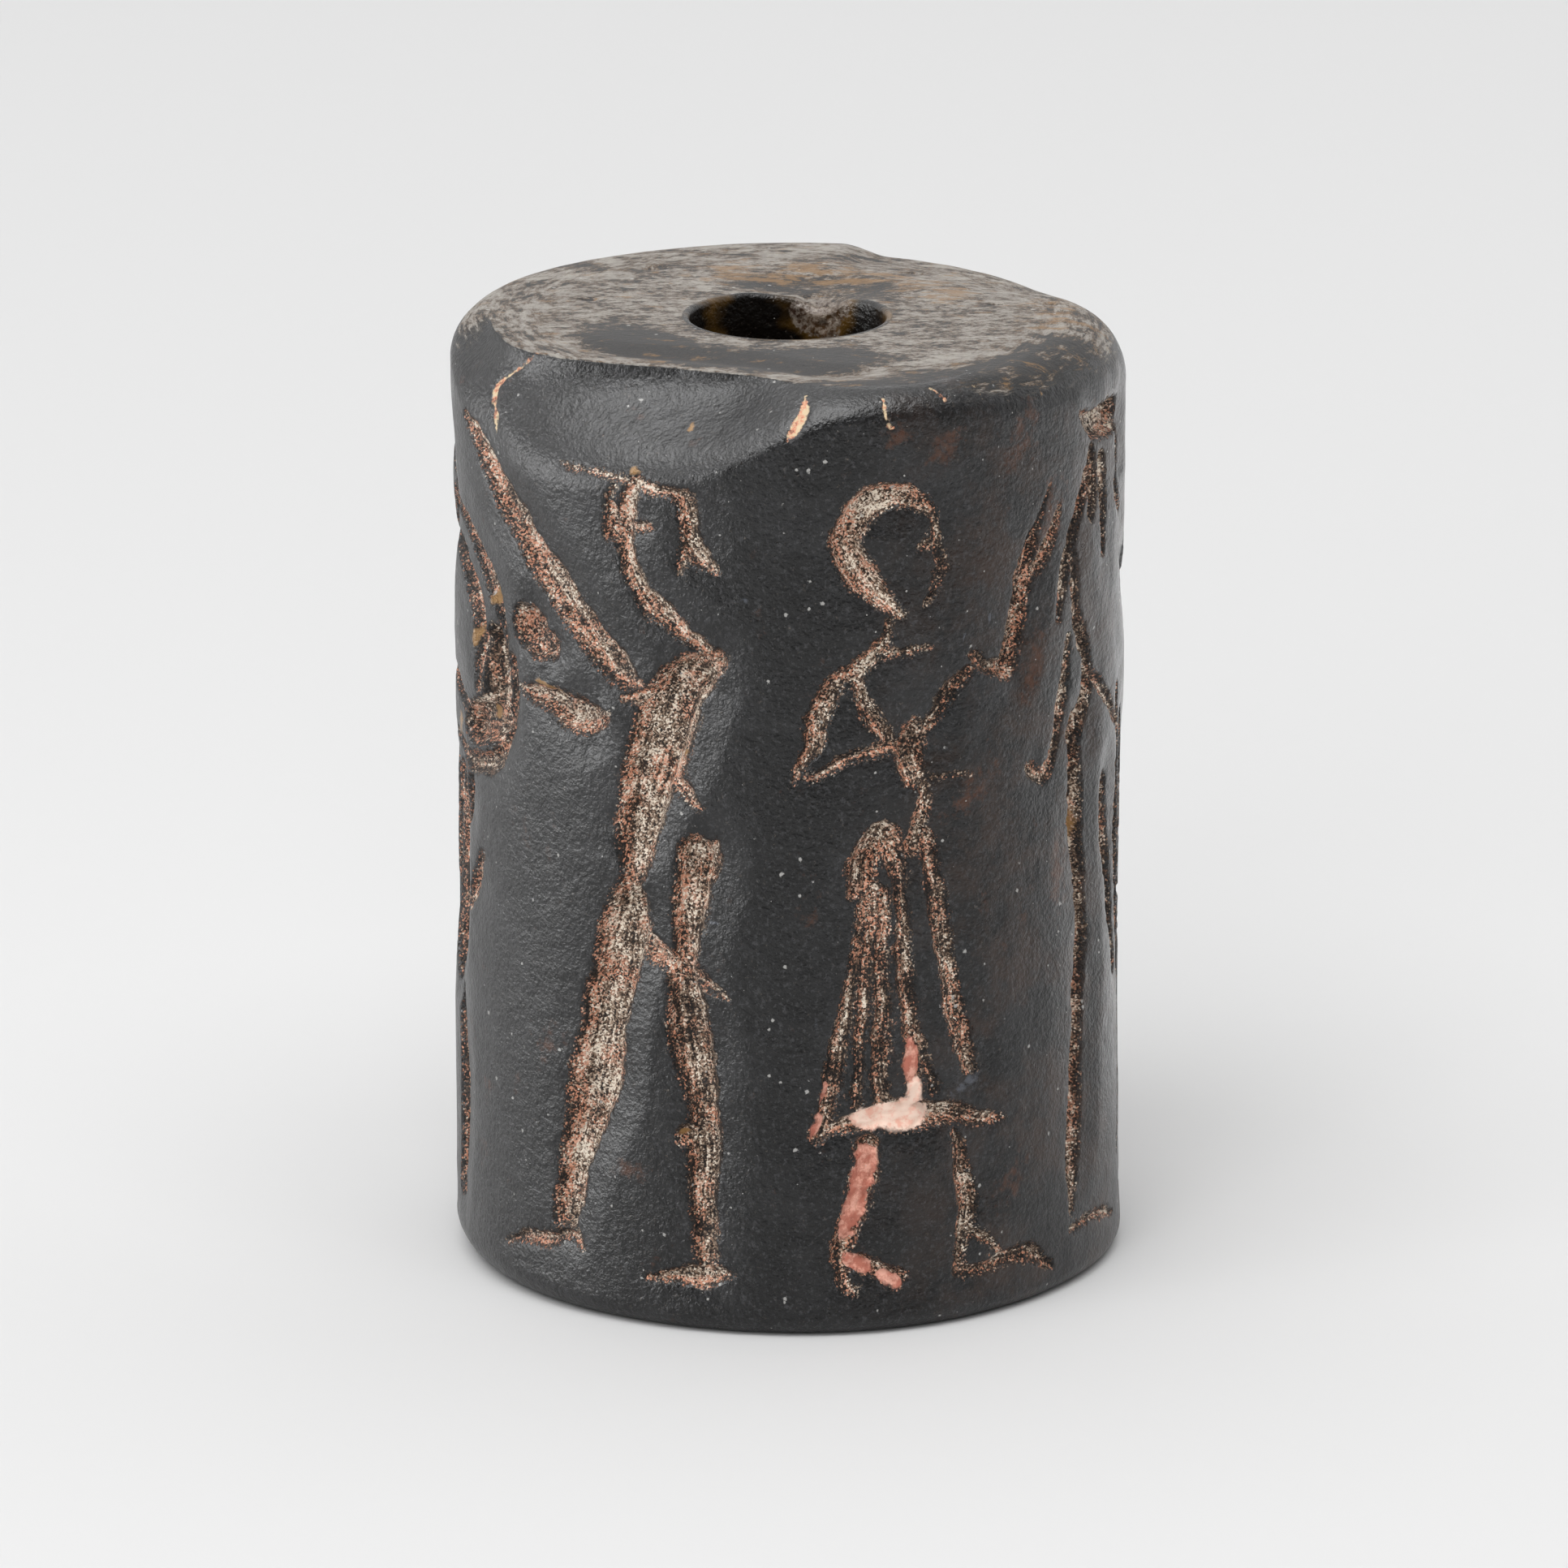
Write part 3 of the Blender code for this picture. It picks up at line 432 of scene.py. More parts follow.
def bareWall(angle, reach):
    # the wall before any cut
    return {"depth": np.zeros(angle.shape), "edge": np.full(angle.shape, -1.0), "side": np.zeros(angle.shape),
            "fill": np.zeros(angle.shape), "sink": np.zeros(angle.shape),
            "grit": twoNoises(angle, reach, (.17, .45), .7, 15)}


def engraveWall(angle, reach):
    wall = bareWall(angle, reach)
    strayX, strayY = [twoNoises(angle, reach, (.9, .35), .45, seed) for seed in (11, 13)]
    up = reach + engraver["wander"] * strayY
    for cuts, turn, facing, share, finest, deposit in engraving():
        clean = facing * around(angle - radians(turn)) * radius
        across = clean + engraver["wander"] * strayX
        for name, points in cuts.items():
            if max(point[2] for point in points) >= finest:
                amount = deposit * engraver["richer"].get(name.rstrip("0123456789"), 1.0)
                cutInto(wall, across, up, points, share, amount)
                sinkTowards(wall, clean, reach, points, share)
    return wall


def markWall(angle, reach, spots):
    # one at the middle of each spot, falling through nought at its edge
    across = around(angle) * radius
    mask = np.full(angle.shape, -1.0)
    for spotX, spotY, long, short, tilt in spots:
        turn = radians(tilt)
        offX, offY = across - spotX, reach - spotY
        along = (offX * cos(turn) + offY * sin(turn)) / long
        aside = (offY * cos(turn) - offX * sin(turn)) / short
        mask = np.maximum(mask, 1 - np.hypot(along, aside))
    return mask


def shoulderForm(angle):
    # how far the shoulder runs in and down, and how low the rim is
    step = topEnd["stepDrop"] * between(angle, topEnd["stepTurns"])
    plain = bySide(stone["shoulderRound"], angle) + topEnd["stepRounding"] * step
    inward = plain + wear["inward"] * between(angle, wear["inwardTurns"])
    drop = plain + wear["drop"] * between(angle, wear["dropTurns"])
    return inward, drop, stone["height"] - step


def shoulderCurve(share, outer, angle):
    # a curve from the wall to the rim: where it is, and the way into the stone
    inward, drop, rim = shoulderForm(angle)
    sharp = between(angle, wear["sharpTurns"])
    handle = wear["roundHandle"]
    wallHandle = handle + sharp * (wear["wallHandle"] - handle)
    ridgeHandle = handle + sharp * (wear["ridgeHandle"] - handle)
    places = (outer, outer, outer - inward * (1 - ridgeHandle), outer - inward)
    levels = (rim - drop, rim - drop * (1 - wallHandle), rim - sharp * wear["underRidge"] * drop, rim)
    left = 1 - share
    weights = (left ** 3, 3 * left ** 2 * share, 3 * left * share ** 2, share ** 3)
    slopes = (-left ** 2, left ** 2 - 2 * left * share, 2 * left * share - share ** 2, share ** 2)
    distance, height = [sum(w * p for w, p in zip(weights, line)) for line in (places, levels)]
    runIn, runUp = [sum(w * p for w, p in zip(slopes, line)) for line in (places, levels)]
    length = np.hypot(runIn, runUp) + 1e-6
    return distance, height, -runUp / length, runIn / length


def profileRows():
    fine = stone["finePitch"]
    stretches = [("foot", 7), ("footRound", 9), ("wall", ceil(stone["height"] / fine)),
                 ("shoulder", ceil(3.6 / fine)), ("top", 64), ("mouth", 5), ("bore", 56)]
    return [(name, step / count) for name, count in stretches for step in range(count)]


def profilePoint(stretch, share, angle):
    # distance from the axis, height, way into the stone (inward, upward), reach up the profile
    foot = bySide(stone["footRound"], angle)
    inward, drop, rim = shoulderForm(angle)
    outer = radius + stone["waver"] * (np.sin(3 * angle + 1) + np.sin(5 * angle))
    arc = (inward + drop) * pi / 4
    flat = np.zeros_like(angle)
    boreRadius, mouth = stone["bore"] / 2, stone["mouthRound"]
    if stretch == "foot":
        return boreRadius + share * (outer - foot - boreRadius), flat, flat, flat + 1, flat - 1
    if stretch == "footRound":
        turn = share * pi / 2
        height = foot * (1 - cos(turn))
        return outer - foot + foot * sin(turn), height, flat - sin(turn), flat + cos(turn), height
    if stretch == "wall":
        height = foot + share * (rim - drop - foot)
        return outer, height, flat - 1, flat, height
    if stretch == "shoulder":
        return *shoulderCurve(share, outer, angle), rim - drop + share * arc
    inner = outer - inward
    if stretch == "top":
        distance = inner - share * (inner - boreRadius - mouth)
        level = stone["height"] - (stone["height"] - rim) * smoothStep(distance, .5 * radius, inner)
        return distance, level, flat, flat - 1, rim - drop + arc + inner - distance
    if stretch == "mouth":
        turn = share * pi / 2
        distance = boreRadius + mouth - mouth * sin(turn) + flat
        return distance, stone["height"] - mouth * (1 - cos(turn)) + flat, flat, flat - 1, flat + 60
    down = share ** 2.2 * (stone["height"] - mouth)
    return boreRadius + flat, stone["height"] - mouth - down + flat, flat + 1, flat, flat + 70


def valleyShare(x, y, angle):
    # the shallow trough behind the front rim
    middle = radius - shoulderForm(angle)[0] - topEnd["valleyInside"]
    trough = 1 - smoothStep(np.abs(middle - np.hypot(x, y)), 0, topEnd["valleyHalf"])
    return trough * between(angle, topEnd["valleyTurns"])


def dishShare(x, y):
    return hollow(np.hypot(x - topEnd["dishRight"], y - topEnd["dishBack"]), topEnd["dishRadius"])


def chipShare(x, y):
    # the broken place on the back edge of the hole
    turn = radians(topEnd["chipTurn"])
    away = np.hypot(x - stone["bore"] / 2 * sin(turn), y + stone["bore"] / 2 * cos(turn))
    return hollow(away, topEnd["chipRadius"])


def pitShare(x, y):
    share = np.zeros_like(x)
    for turn, out, long, short in topEnd["pits"]:
        pitX, pitY = out * sin(radians(turn)), -out * cos(radians(turn))
        share = np.maximum(share, hollow(np.hypot((x - pitX) / long, (y - pitY) / short), 1.0))
    return share


def topRelief(x, y, angle):
    relief = -topEnd["valleyDepth"] * valleyShare(x, y, angle) - topEnd["dishDepth"] * dishShare(x, y)
    return relief - topEnd["chipDepth"] * chipShare(x, y) - topEnd["pitDepth"] * pitShare(x, y)


def gritShare(angle, height):
    # the rough patch on the wall of the hole, below the broken place
    turn, breadth, reach = topEnd["grit"]
    aside = np.degrees(around(angle - radians(turn))) / breadth
    down = (stone["height"] - height) / reach
    rough = .5 * boreNoise(angle, height, .5, 18)
    return smoothStep(1 - np.hypot(aside, down) + rough, .0, .35)


def columnAngles():
    side = radians(stone["fineSide"])
    fine = ceil(2 * side * radius / stone["finePitch"])
    coarse = ceil((2 * pi - 2 * side) * radius / stone["coarsePitch"])
    front = np.linspace(-side, side, fine, endpoint=False)
    back = np.linspace(side, 2 * pi - side, coarse, endpoint=False)
    return around(np.concatenate([front, back]))


def plainSkin(columns):
    # the uncarved skin as rows of points round the stone
    rows, zone = [], []
    for stretch, share in profileRows():
        rows.append(np.stack(profilePoint(stretch, share, columns)))
        zone.append(stretch)
    return np.array(rows).transpose(1, 0, 2), np.array(zone)[:, None]


def carvedDepth(angle, reach, wall, crack, filled):
    # how far the surface lies inside the plain skin
    inside = smoothStep(wall["edge"], -.02, .12)
    rough = twoNoises(angle, reach, (.30, .16), .7, 3)
    lines = np.sin(wall["side"] * 2 * pi / engraver["striationPitch"] + 2 * wallNoise(angle, reach, 1.2, 5))
    depth = wall["depth"] * (1 - .5 * filled)
    depth += inside * (engraver["floorRough"] * rough + engraver["striation"] * lines)
    depth = np.maximum(depth, crack["depth"]) + wall["sink"]
    return depth + stone["ripple"] * (twoNoises(angle, reach, (2.3, .8), .6, 6) + 1.5)


def boreRelief(angle, height, grit):
    # the uneven wall of the hole, with its gritty patch
    rough = .05 * twoNoises(angle, height, (1.4, .5), .5, 8)
    rough *= smoothStep(stone["height"] - height, .3, 1.5)
    return rough - grit * (.05 + .07 * boreNoise(angle, height, .25, 19))


def carvedSurface():
    # the whole skin as a grid of points, with what the finish needs to know at each
    columns = columnAngles()
    (distance, height, inward, upward, reach), zone = plainSkin(columns)
    angle = np.broadcast_to(columns, distance.shape)
    everywhere = np.ones(angle.shape, bool)
    outside = np.isin(zone, ["footRound", "wall", "shoulder", "top"]) & everywhere
    onTop = (zone == "top") * everywhere
    wall = engraveWall(angle, reach)
    masks = {name: markWall(angle, reach, spots) for name, spots in deposits.items()}
    crack = bareWall(angle, reach)
    for points in scars.values():
        cutInto(crack, angle * radius, reach, points, engraver["scarShare"], 1.0)
    filled = smoothStep(np.maximum(masks["pink"], masks["salmon"]), 0, .4)
    depth = carvedDepth(angle, reach, wall, crack, filled) * outside
    distance = distance + inward * depth
    height = height + upward * depth
    x, y = distance * np.sin(angle), -distance * np.cos(angle)
    height = height + onTop * topRelief(x, y, angle)
    edge = stone["bore"] / 2 + stone["mouthRound"]
    edgeRelief = topRelief(edge * np.sin(columns), -edge * np.cos(columns), columns)
    height = np.where(zone == "mouth", height + edgeRelief, height)
    length = stone["height"] - stone["mouthRound"]
    height = np.where(zone == "bore", height * (1 + edgeRelief / length), height)
    grit = gritShare(angle, height) * np.isin(zone, ["mouth", "bore"])
    distance = distance + np.where(zone == "bore", boreRelief(angle, height, grit), 0)
    x, y = distance * np.sin(angle), -distance * np.cos(angle)
    chip = np.maximum(grit, onTop * chipShare(x, y))
    height = height + onTop * chip * .10 * wallNoise(angle, distance * 3, .5, 17)
    # the streaked wear stops at the sharp ridge, and runs down over the shoulder elsewhere
    overEdge = 1 - between(angle, wear["polishedTurns"])
    shoulderWorn = (zone == "shoulder") * overEdge * smoothStep(upward, -.35, -.90)
    marks = {"edge": np.where(outside, wall["edge"], -1), "side": wall["side"], "fill": wall["fill"],
             "crack": np.where(outside, crack["edge"], -1), "upperEnd": onTop + shoulderWorn,
             "pit": onTop * pitShare(x, y), "boreWall": np.isin(zone, ["mouth", "bore"]) & everywhere,
             "chip": chip, "turn": angle}
    marks.update({name: np.where(outside, mask, -1) for name, mask in masks.items()})
    return np.stack([x, y, height], axis=-1) * mm, marks


def putInScene(name, data):
    thing = bpy.data.objects.new(name, data)
    bpy.context.scene.collection.objects.link(thing)
    return thing


def newMaterial(name):
    material = bpy.data.materials.new(name)
    material.use_nodes = True
    return material, material.node_tree, material.node_tree.nodes["Principled BSDF"]


def ringMesh(name, points):
    rowCount, columnCount = points.shape[:2]
    row, column = np.meshgrid(np.arange(rowCount), np.arange(columnCount), indexing="ij")
    nextRow, nextColumn = (row + 1) % rowCount, (column + 1) % columnCount
    corners = np.stack([row * columnCount + column, row * columnCount + nextColumn,
                        nextRow * columnCount + nextColumn, nextRow * columnCount + column], axis=-1)
    mesh = bpy.data.meshes.new(name)
    count = rowCount * columnCount
    mesh.vertices.add(count)
    mesh.vertices.foreach_set("co", points.reshape(-1).astype(np.float32))
    mesh.loops.add(count * 4)
    mesh.loops.foreach_set("vertex_index", corners.reshape(-1).astype(np.int32))
    mesh.polygons.add(count)
    mesh.polygons.foreach_set("loop_start", np.arange(0, count * 4, 4, dtype=np.int32))
    mesh.update(calc_edges=True)
    return mesh


def simplified(mesh, triangles):
    # collapse what is nearly flat, so that the triangles go where the carving is
    thing = putInScene("fineSeal", mesh)
    decimate = thing.modifiers.new("simplify", 'DECIMATE')
    decimate.ratio = min(1.0, triangles / (2 * len(mesh.polygons)))
    evaluated = thing.evaluated_get(bpy.context.evaluated_depsgraph_get())
    result = bpy.data.meshes.new_from_object(evaluated)
    bpy.data.objects.remove(thing)
    return result


def carryMarks(mesh, points, marks):
    # each point of the simplified skin takes the marks of the nearest point of the fine one
    flat = points.reshape(-1, 3)
    tree = kdtree.KDTree(len(flat))
    for number, point in enumerate(flat):
        tree.insert(point, number)
    tree.balance()
    nearest = np.array([tree.find(vertex.co)[1] for vertex in mesh.vertices])
    for name, values in marks.items():
        layer = mesh.attributes.new(name, 'FLOAT', 'POINT')
        layer.data.foreach_set("value", values.reshape(-1)[nearest].astype(np.float32))


def makeSeal():
    points, marks = carvedSurface()
    print("fine skin:", points.shape[0] * points.shape[1], "points")
    mesh = simplified(ringMesh("carvedSeal", points), stone["triangles"])
    mesh.name = "carvedSeal"
    carryMarks(mesh, points, marks)
    mesh.shade_smooth()
    print("seal:", sum(len(face.vertices) - 2 for face in mesh.polygons), "triangles")
    piece = putInScene("carvedSeal", mesh)
    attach(piece, "root")
    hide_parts("seal")
    return piece


finish = {
    "darkStone": (.0022, .0021, .0023, 1),
    "greyStone": (.016, .016, .017, 1),
    "film": (.075, .075, .080, 1),
    "rust": (.080, .028, .011, 1),
    "brownTint": (.030, .015, .009, 1),
    "ochre": (.34, .19, .07, 1),
    "scuff": (.085, .092, .11, 1),
    "wornGrey": (.205, .182, .158, 1),
    "wornPale": (.34, .31, .27, 1),
    "wornBrown": (.12, .075, .040, 1),
    "wornRust": (.25, .135, .045, 1),
    "streakDark": (.014, .012, .011, 1),
    "amber": (.15, .075, .010, 1),
    "boreDark": (.003, .002, .0015, 1),
    "boreGrit": (.24, .20, .165, 1),
    # dark arcs on the upper end, as (turn, spread, distance from the axis, half breadth), change of tone:
    # the valley, its darkest stretch, the right-hand rim and the dish behind the hole
    "darkArcs": [((-24, 62, 5.4, 1.8), -.74), ((-45, 26, 5.6, 1.1), -.25), ((40, 42, 8.9, 1.6), -.42),
                 ((165, 48, 4.3, 1.5), -.36)],
    # where the brown streaks gather, in the same way
    "brownArcs": [((158, 62, 5.5, 1.9), .12), ((92, 18, 8.0, 1.6), .09)],
    # what is packed into the cuts, from the darkest grains to the palest
    "grainTones": [(.0, (.007, .005, .004, 1)), (.30, (.036, .021, .014, 1)), (.52, (.155, .097, .063, 1)),
                   (.74, (.42, .31, .225, 1)), (1.0, (.92, .82, .69, 1))],
    "grainOrange": (.70, .28, .16, 1),
    "pinkPale": (1.0, .75, .62, 1),
    "pinkDeep": (.92, .50, .38, 1),
    "salmonPale": (.88, .46, .35, 1),
    "salmonDeep": (.52, .17, .115, 1),
    "crackCream": (.72, .56, .35, 1),
    "crackDark": (.05, .025, .015, 1),
    "dust": (.50, .49, .47, 1),
    # how strongly each tint shows where it lies
    "shares": {"film": .48, "scuff": .8, "wornRust": .75, "grainOrange": .78, "dust": .75},
    # pink and salmon infill: how broken its edge is, where it is full, and where its tone turns
    "infills": [("pink", .8, .14, .34, .56), ("salmon", 1.0, .16, .42, .66)],
    # how far the upper end's tone swings in streaks and in patches
    "streakSwing": 3.0, "patchSwing": 1.5,
    # how far the deposit's tone swings in patches, along each cut, from grain to grain and within a grain
    "depositSwings": (1.5, 1.7, .85, .9),
    "grainSize": .052,
    "dustPlaces": 2.6,  # to the millimetre
    # heights of the fine relief in millimetres
    "grainRaise": .022,
    "infillRaise": .02,
    "peelRaise": .062,
    "finePeelRaise": .046,
    "hairlineRaise": .045,
    "polishRoughness": .31,
    "wornRoughness": .50,
    "grainRoughness": .72,
}


def addNode(tree, kind, values=None, **settings):
    node = tree.nodes.new("ShaderNode" + kind)
    for name, value in settings.items():
        setattr(node, name, value)
    for name, value in (values or {}).items():
        if isinstance(value, bpy.types.NodeSocket):
            tree.links.new(value, node.inputs[name])
        else:
            node.inputs[name].default_value = value
    return node


def mark(tree, name):
    return addNode(tree, "Attribute", attribute_name=name).outputs["Fac"]


def maths(tree, operation, *values):
    return addNode(tree, "Math", dict(enumerate(values)), operation=operation).outputs[0]


def mixColour(tree, share, first, second):
    return addNode(tree, "Mix", {0: share, 6: first, 7: second}, data_type="RGBA").outputs[2]


def mixValue(tree, share, first, second):
    return addNode(tree, "Mix", {0: share, 2: first, 3: second}).outputs[0]


def ramp(tree, value, low, high):
    return addNode(tree, "MapRange", {"Value": value, "From Min": low, "From Max": high},
                   interpolation_type="SMOOTHSTEP").outputs["Result"]


def noiseOf(tree, place, scale, detail=2.0, roughness=.5):
    return addNode(tree, "TexNoise", {"Vector": place, "Scale": scale, "Detail": detail,
                                      "Roughness": roughness}).outputs["Fac"]


def ragged(tree, value, noise, amount, low, high):
    # a soft mask with its edge broken up by noise
    return ramp(tree, maths(tree, "MULTIPLY_ADD", noise, amount, maths(tree, "SUBTRACT", value, amount / 2)),
                low, high)


def swayed(tree, value, noise, amount):
    # a value pushed up and down by a noise that lies around a half
    return maths(tree, "MULTIPLY_ADD", maths(tree, "SUBTRACT", noise, .5), amount, value)


def tinted(tree, colour, name, mask):
    # one of the finish's tints laid over a colour
    return mixColour(tree, maths(tree, "MULTIPLY", mask, finish["shares"][name]), colour, finish[name])


def channels(tree, colour):
    return addNode(tree, "SeparateColor", {"Color": colour}).outputs


def vectorMaths(tree, operation, *values, result="Vector"):
    return addNode(tree, "VectorMath", dict(enumerate(values)), operation=operation).outputs[result]


def scaledPlace(tree, place, *scales):
    return vectorMaths(tree, "MULTIPLY", place, scales)


def fromAxis(tree, place):
    # a place brought down flat, and its distance from the axis
    flat = scaledPlace(tree, place, 1, 1, 0)
    return flat, vectorMaths(tree, "LENGTH", flat, result="Value")


def toneRamp(tree, value, tones):
    node = addNode(tree, "ValToRGB", {"Fac": value})
    stops = node.color_ramp.elements
    while len(stops) < len(tones):
        stops.new(.5)
    for stop, (position, colour) in zip(stops, tones):
        stop.position, stop.color = position, colour
    return node.outputs["Color"]


def ringPlace(tree, place, along, across):
    # coordinates that run round the stone, for streaks that follow the rim
    flat, length = fromAxis(tree, place)
    facing = scaledPlace(tree, vectorMaths(tree, "NORMALIZE", flat), *(along * radius,) * 3)
    rise = addNode(tree, "SeparateXYZ", {0: place}).outputs["Z"]
    outward = maths(tree, "MULTIPLY", maths(tree, "SUBTRACT", length, rise), across)
    lift = addNode(tree, "CombineXYZ", {"Z": outward}).outputs[0]
    return vectorMaths(tree, "ADD", facing, lift), length


def polishedWall(tree, place):
    cloud = noiseOf(tree, place, .45, 5.0, .65)
    colour = mixColour(tree, ramp(tree, cloud, .42, .75), finish["darkStone"], finish["greyStone"])
    rightSide = ramp(tree, mark(tree, "turn"), .12, .70)
    brown = ramp(tree, noiseOf(tree, place, .42, 6.0, .72), .42, .66)
    colour = mixColour(tree, maths(tree, "MULTIPLY", brown, rightSide), colour, finish["brownTint"])
    broken = noiseOf(tree, place, 2.4, 4.0, .75)
    rusty = ragged(tree, mark(tree, "rust"), broken, 3.0, .25, 1.0)
    stray = ramp(tree, noiseOf(tree, place, .8, 5.0, .75), .62, .75)
    rusty = maths(tree, "MAXIMUM", maths(tree, "MULTIPLY", rusty, .75), maths(tree, "MULTIPLY", stray, .6))
    film = ramp(tree, noiseOf(tree, place, 6.5, 2.5, .8), .50, .72)
    colour = tinted(tree, colour, "film", film)
    colour = mixColour(tree, rusty, colour, finish["rust"])
    scuffed = ragged(tree, mark(tree, "scuff"), noiseOf(tree, place, 4.0, 5.0, .8), 2.2, .15, .6)
    return tinted(tree, colour, "scuff", scuffed)


def arcShare(tree, place, turn, spread, ring, half):
    # one along an arc of the upper end: the turn at its middle, how far it spreads to either side in
    # degrees, its distance from the axis and half its breadth
    flat, length = fromAxis(tree, place)
    towards = (sin(radians(turn)), -cos(radians(turn)), 0)
    reach = vectorMaths(tree, "DOT_PRODUCT", flat, towards, result="Value")
    along = ramp(tree, maths(tree, "DIVIDE", reach, length), cos(radians(spread)), cos(radians(spread * .6)))
    away = maths(tree, "ABSOLUTE", maths(tree, "SUBTRACT", length, ring))
    return maths(tree, "MULTIPLY", along, ramp(tree, away, half, half * .2))


def withArcs(tree, place, value, arcs):
    # a value raised or lowered along each of the arcs
    for arc, change in arcs:
        value = maths(tree, "MULTIPLY_ADD", arcShare(tree, place, *arc), change, value)
    return value


def wornTop(tree, place, colour):
    hairs = noiseOf(tree, scaledPlace(tree, place, 1.0, 1.9, 1.5), 2.4, 5.0, .82)
    rings, fromMiddle = ringPlace(tree, place, .9, 3.2)
    arcs = noiseOf(tree, rings, 1.2, 6.0, .80)
    hairs = mixValue(tree, ramp(tree, fromMiddle, 6.3, 8.2), hairs, arcs)
    hairs = swayed(tree, .53, hairs, finish["streakSwing"])
    patches = noiseOf(tree, scaledPlace(tree, place, .75, 1.1, 1.0), .8, 6.0, .70)
    mixed = withArcs(tree, place, swayed(tree, hairs, patches, finish["patchSwing"]), finish["darkArcs"])
    mixed = maths(tree, "MULTIPLY_ADD", mark(tree, "pit"), -.30, mixed)
    upper = toneRamp(tree, mixed, [(.28, finish["streakDark"]), (.42, finish["wornBrown"]),
                                   (.55, finish["wornGrey"]), (.85, finish["wornPale"])])
    ochre = noiseOf(tree, scaledPlace(tree, place, .7, 1.6, 1.0), 1.3, 6.0, .75)
    ochre = ramp(tree, withArcs(tree, place, ochre, finish["brownArcs"]), .57, .68)
    upper = tinted(tree, upper, "wornRust", ochre)
    worn = ragged(tree, mark(tree, "upperEnd"), hairs, 1.1, .25, .75)
    worn = maths(tree, "MULTIPLY", worn, ramp(tree, mark(tree, "upperEnd"), .02, .25))
    return mixColour(tree, worn, colour, upper), worn


def grains(tree, place, cells):
    # single grains packed into the cuts, in streaks along each cut, with orange by the edges
    pick = channels(tree, cells.outputs["Color"])
    patch = noiseOf(tree, place, 1.1, 4.0, .65)
    aside = maths(tree, "MULTIPLY", mark(tree, "side"), 7.5)
    aside = addNode(tree, "CombineXYZ", {"X": aside}).outputs[0]
    alongCut = vectorMaths(tree, "ADD", scaledPlace(tree, place, .45, .45, .45), aside)
    streak = noiseOf(tree, alongCut, 1.2, 3.0, .6)
    # the deposit thins out towards the edge
    tone = maths(tree, "MULTIPLY_ADD", ramp(tree, mark(tree, "edge"), .16, -.04), -.16, mark(tree, "fill"))
    within = noiseOf(tree, place, 9.0, 3.0, .8)
    for noise, swing in zip((patch, streak, pick[0], within), finish["depositSwings"]):
        tone = swayed(tree, tone, noise, swing)
    colour = toneRamp(tree, tone, finish["grainTones"])
    nearEdge, onLeft = ramp(tree, mark(tree, "edge"), .32, .06), ramp(tree, mark(tree, "side"), 0, -.06)
    leftEdge = maths(tree, "MULTIPLY", nearEdge, onLeft)
    orange = noiseOf(tree, place, .8, 6.0, .75)
    orange = ramp(tree, maths(tree, "MULTIPLY_ADD", leftEdge, .20, orange), .46, .61)
    orange = maths(tree, "MULTIPLY", orange, ramp(tree, pick[1], .25, .60))
    orange = maths(tree, "MULTIPLY", orange, ramp(tree, tone, .34, .62))
    return tinted(tree, colour, "grainOrange", orange)


def plastered(tree, colour, coarse):
    # the pink and salmon infill, and where it lies
    inCut = ramp(tree, mark(tree, "edge"), -.08, .02)
    filled = 0
    for name, broken, full, deep, pale in finish["infills"]:
        share = maths(tree, "MULTIPLY", ragged(tree, mark(tree, name), coarse, broken, .05, full), inCut)
        plaster = mixColour(tree, ramp(tree, coarse, deep, pale), finish[name + "Deep"],
                            finish[name + "Pale"])
        colour = mixColour(tree, share, colour, plaster)
        filled = maths(tree, "MAXIMUM", filled, share)
    return colour, filled


def cracksFilled(tree, colour, fine, coarse):
    # cream and orange in the cracks, between dark edges
    cracked = ragged(tree, mark(tree, "crack"), fine, .26, -.01, .05)
    tone = toneRamp(tree, coarse, [(.36, finish["crackDark"]), (.45, finish["grainOrange"]),
                                   (.53, finish["crackCream"])])
    tone = mixColour(tree, ramp(tree, mark(tree, "crack"), .02, -.02), tone, finish["crackDark"])
    return mixColour(tree, cracked, colour, tone), cracked


def dusted(tree, place, colour, fine):
    # specks of dust, each of its own size and not quite round
    specks = addNode(tree, "TexVoronoi", {"Vector": place, "Scale": finish["dustPlaces"]})
    chosen = channels(tree, specks.outputs["Color"])
    size = maths(tree, "MULTIPLY_ADD", maths(tree, "POWER", chosen[1], 3.0), .12, .035)
    away = maths(tree, "MULTIPLY", specks.outputs["Distance"], maths(tree, "MULTIPLY_ADD", fine, 3.0, -.5))
    dusty = maths(tree, "MULTIPLY", ramp(tree, maths(tree, "DIVIDE", away, size), 1.2, .7),
                  ramp(tree, chosen[0], .45, .47))
    return tinted(tree, colour, "dust", dusty)


def fineRelief(tree, place, cells, coarse, worn, filled, grained):
    # orange peel on the polish, hairlines on the worn end, and grains in the cuts
    peel = maths(tree, "MULTIPLY", noiseOf(tree, place, 1.5, 2.0, .5), finish["peelRaise"])
    peel = maths(tree, "MULTIPLY_ADD", noiseOf(tree, place, 7.5, 3.0, .6), finish["finePeelRaise"], peel)
    scratch = noiseOf(tree, scaledPlace(tree, place, 1.0, 1.9, 1.9), 3.2, 4.0, .7)
    peel = mixValue(tree, worn, peel, maths(tree, "MULTIPLY", scratch, finish["hairlineRaise"]))
    raised = maths(tree, "MULTIPLY", cells.outputs["Distance"], -finish["grainRaise"])
    raised = mixValue(tree, filled, raised, maths(tree, "MULTIPLY", coarse, finish["infillRaise"]))
    return mixValue(tree, grained, peel, raised)


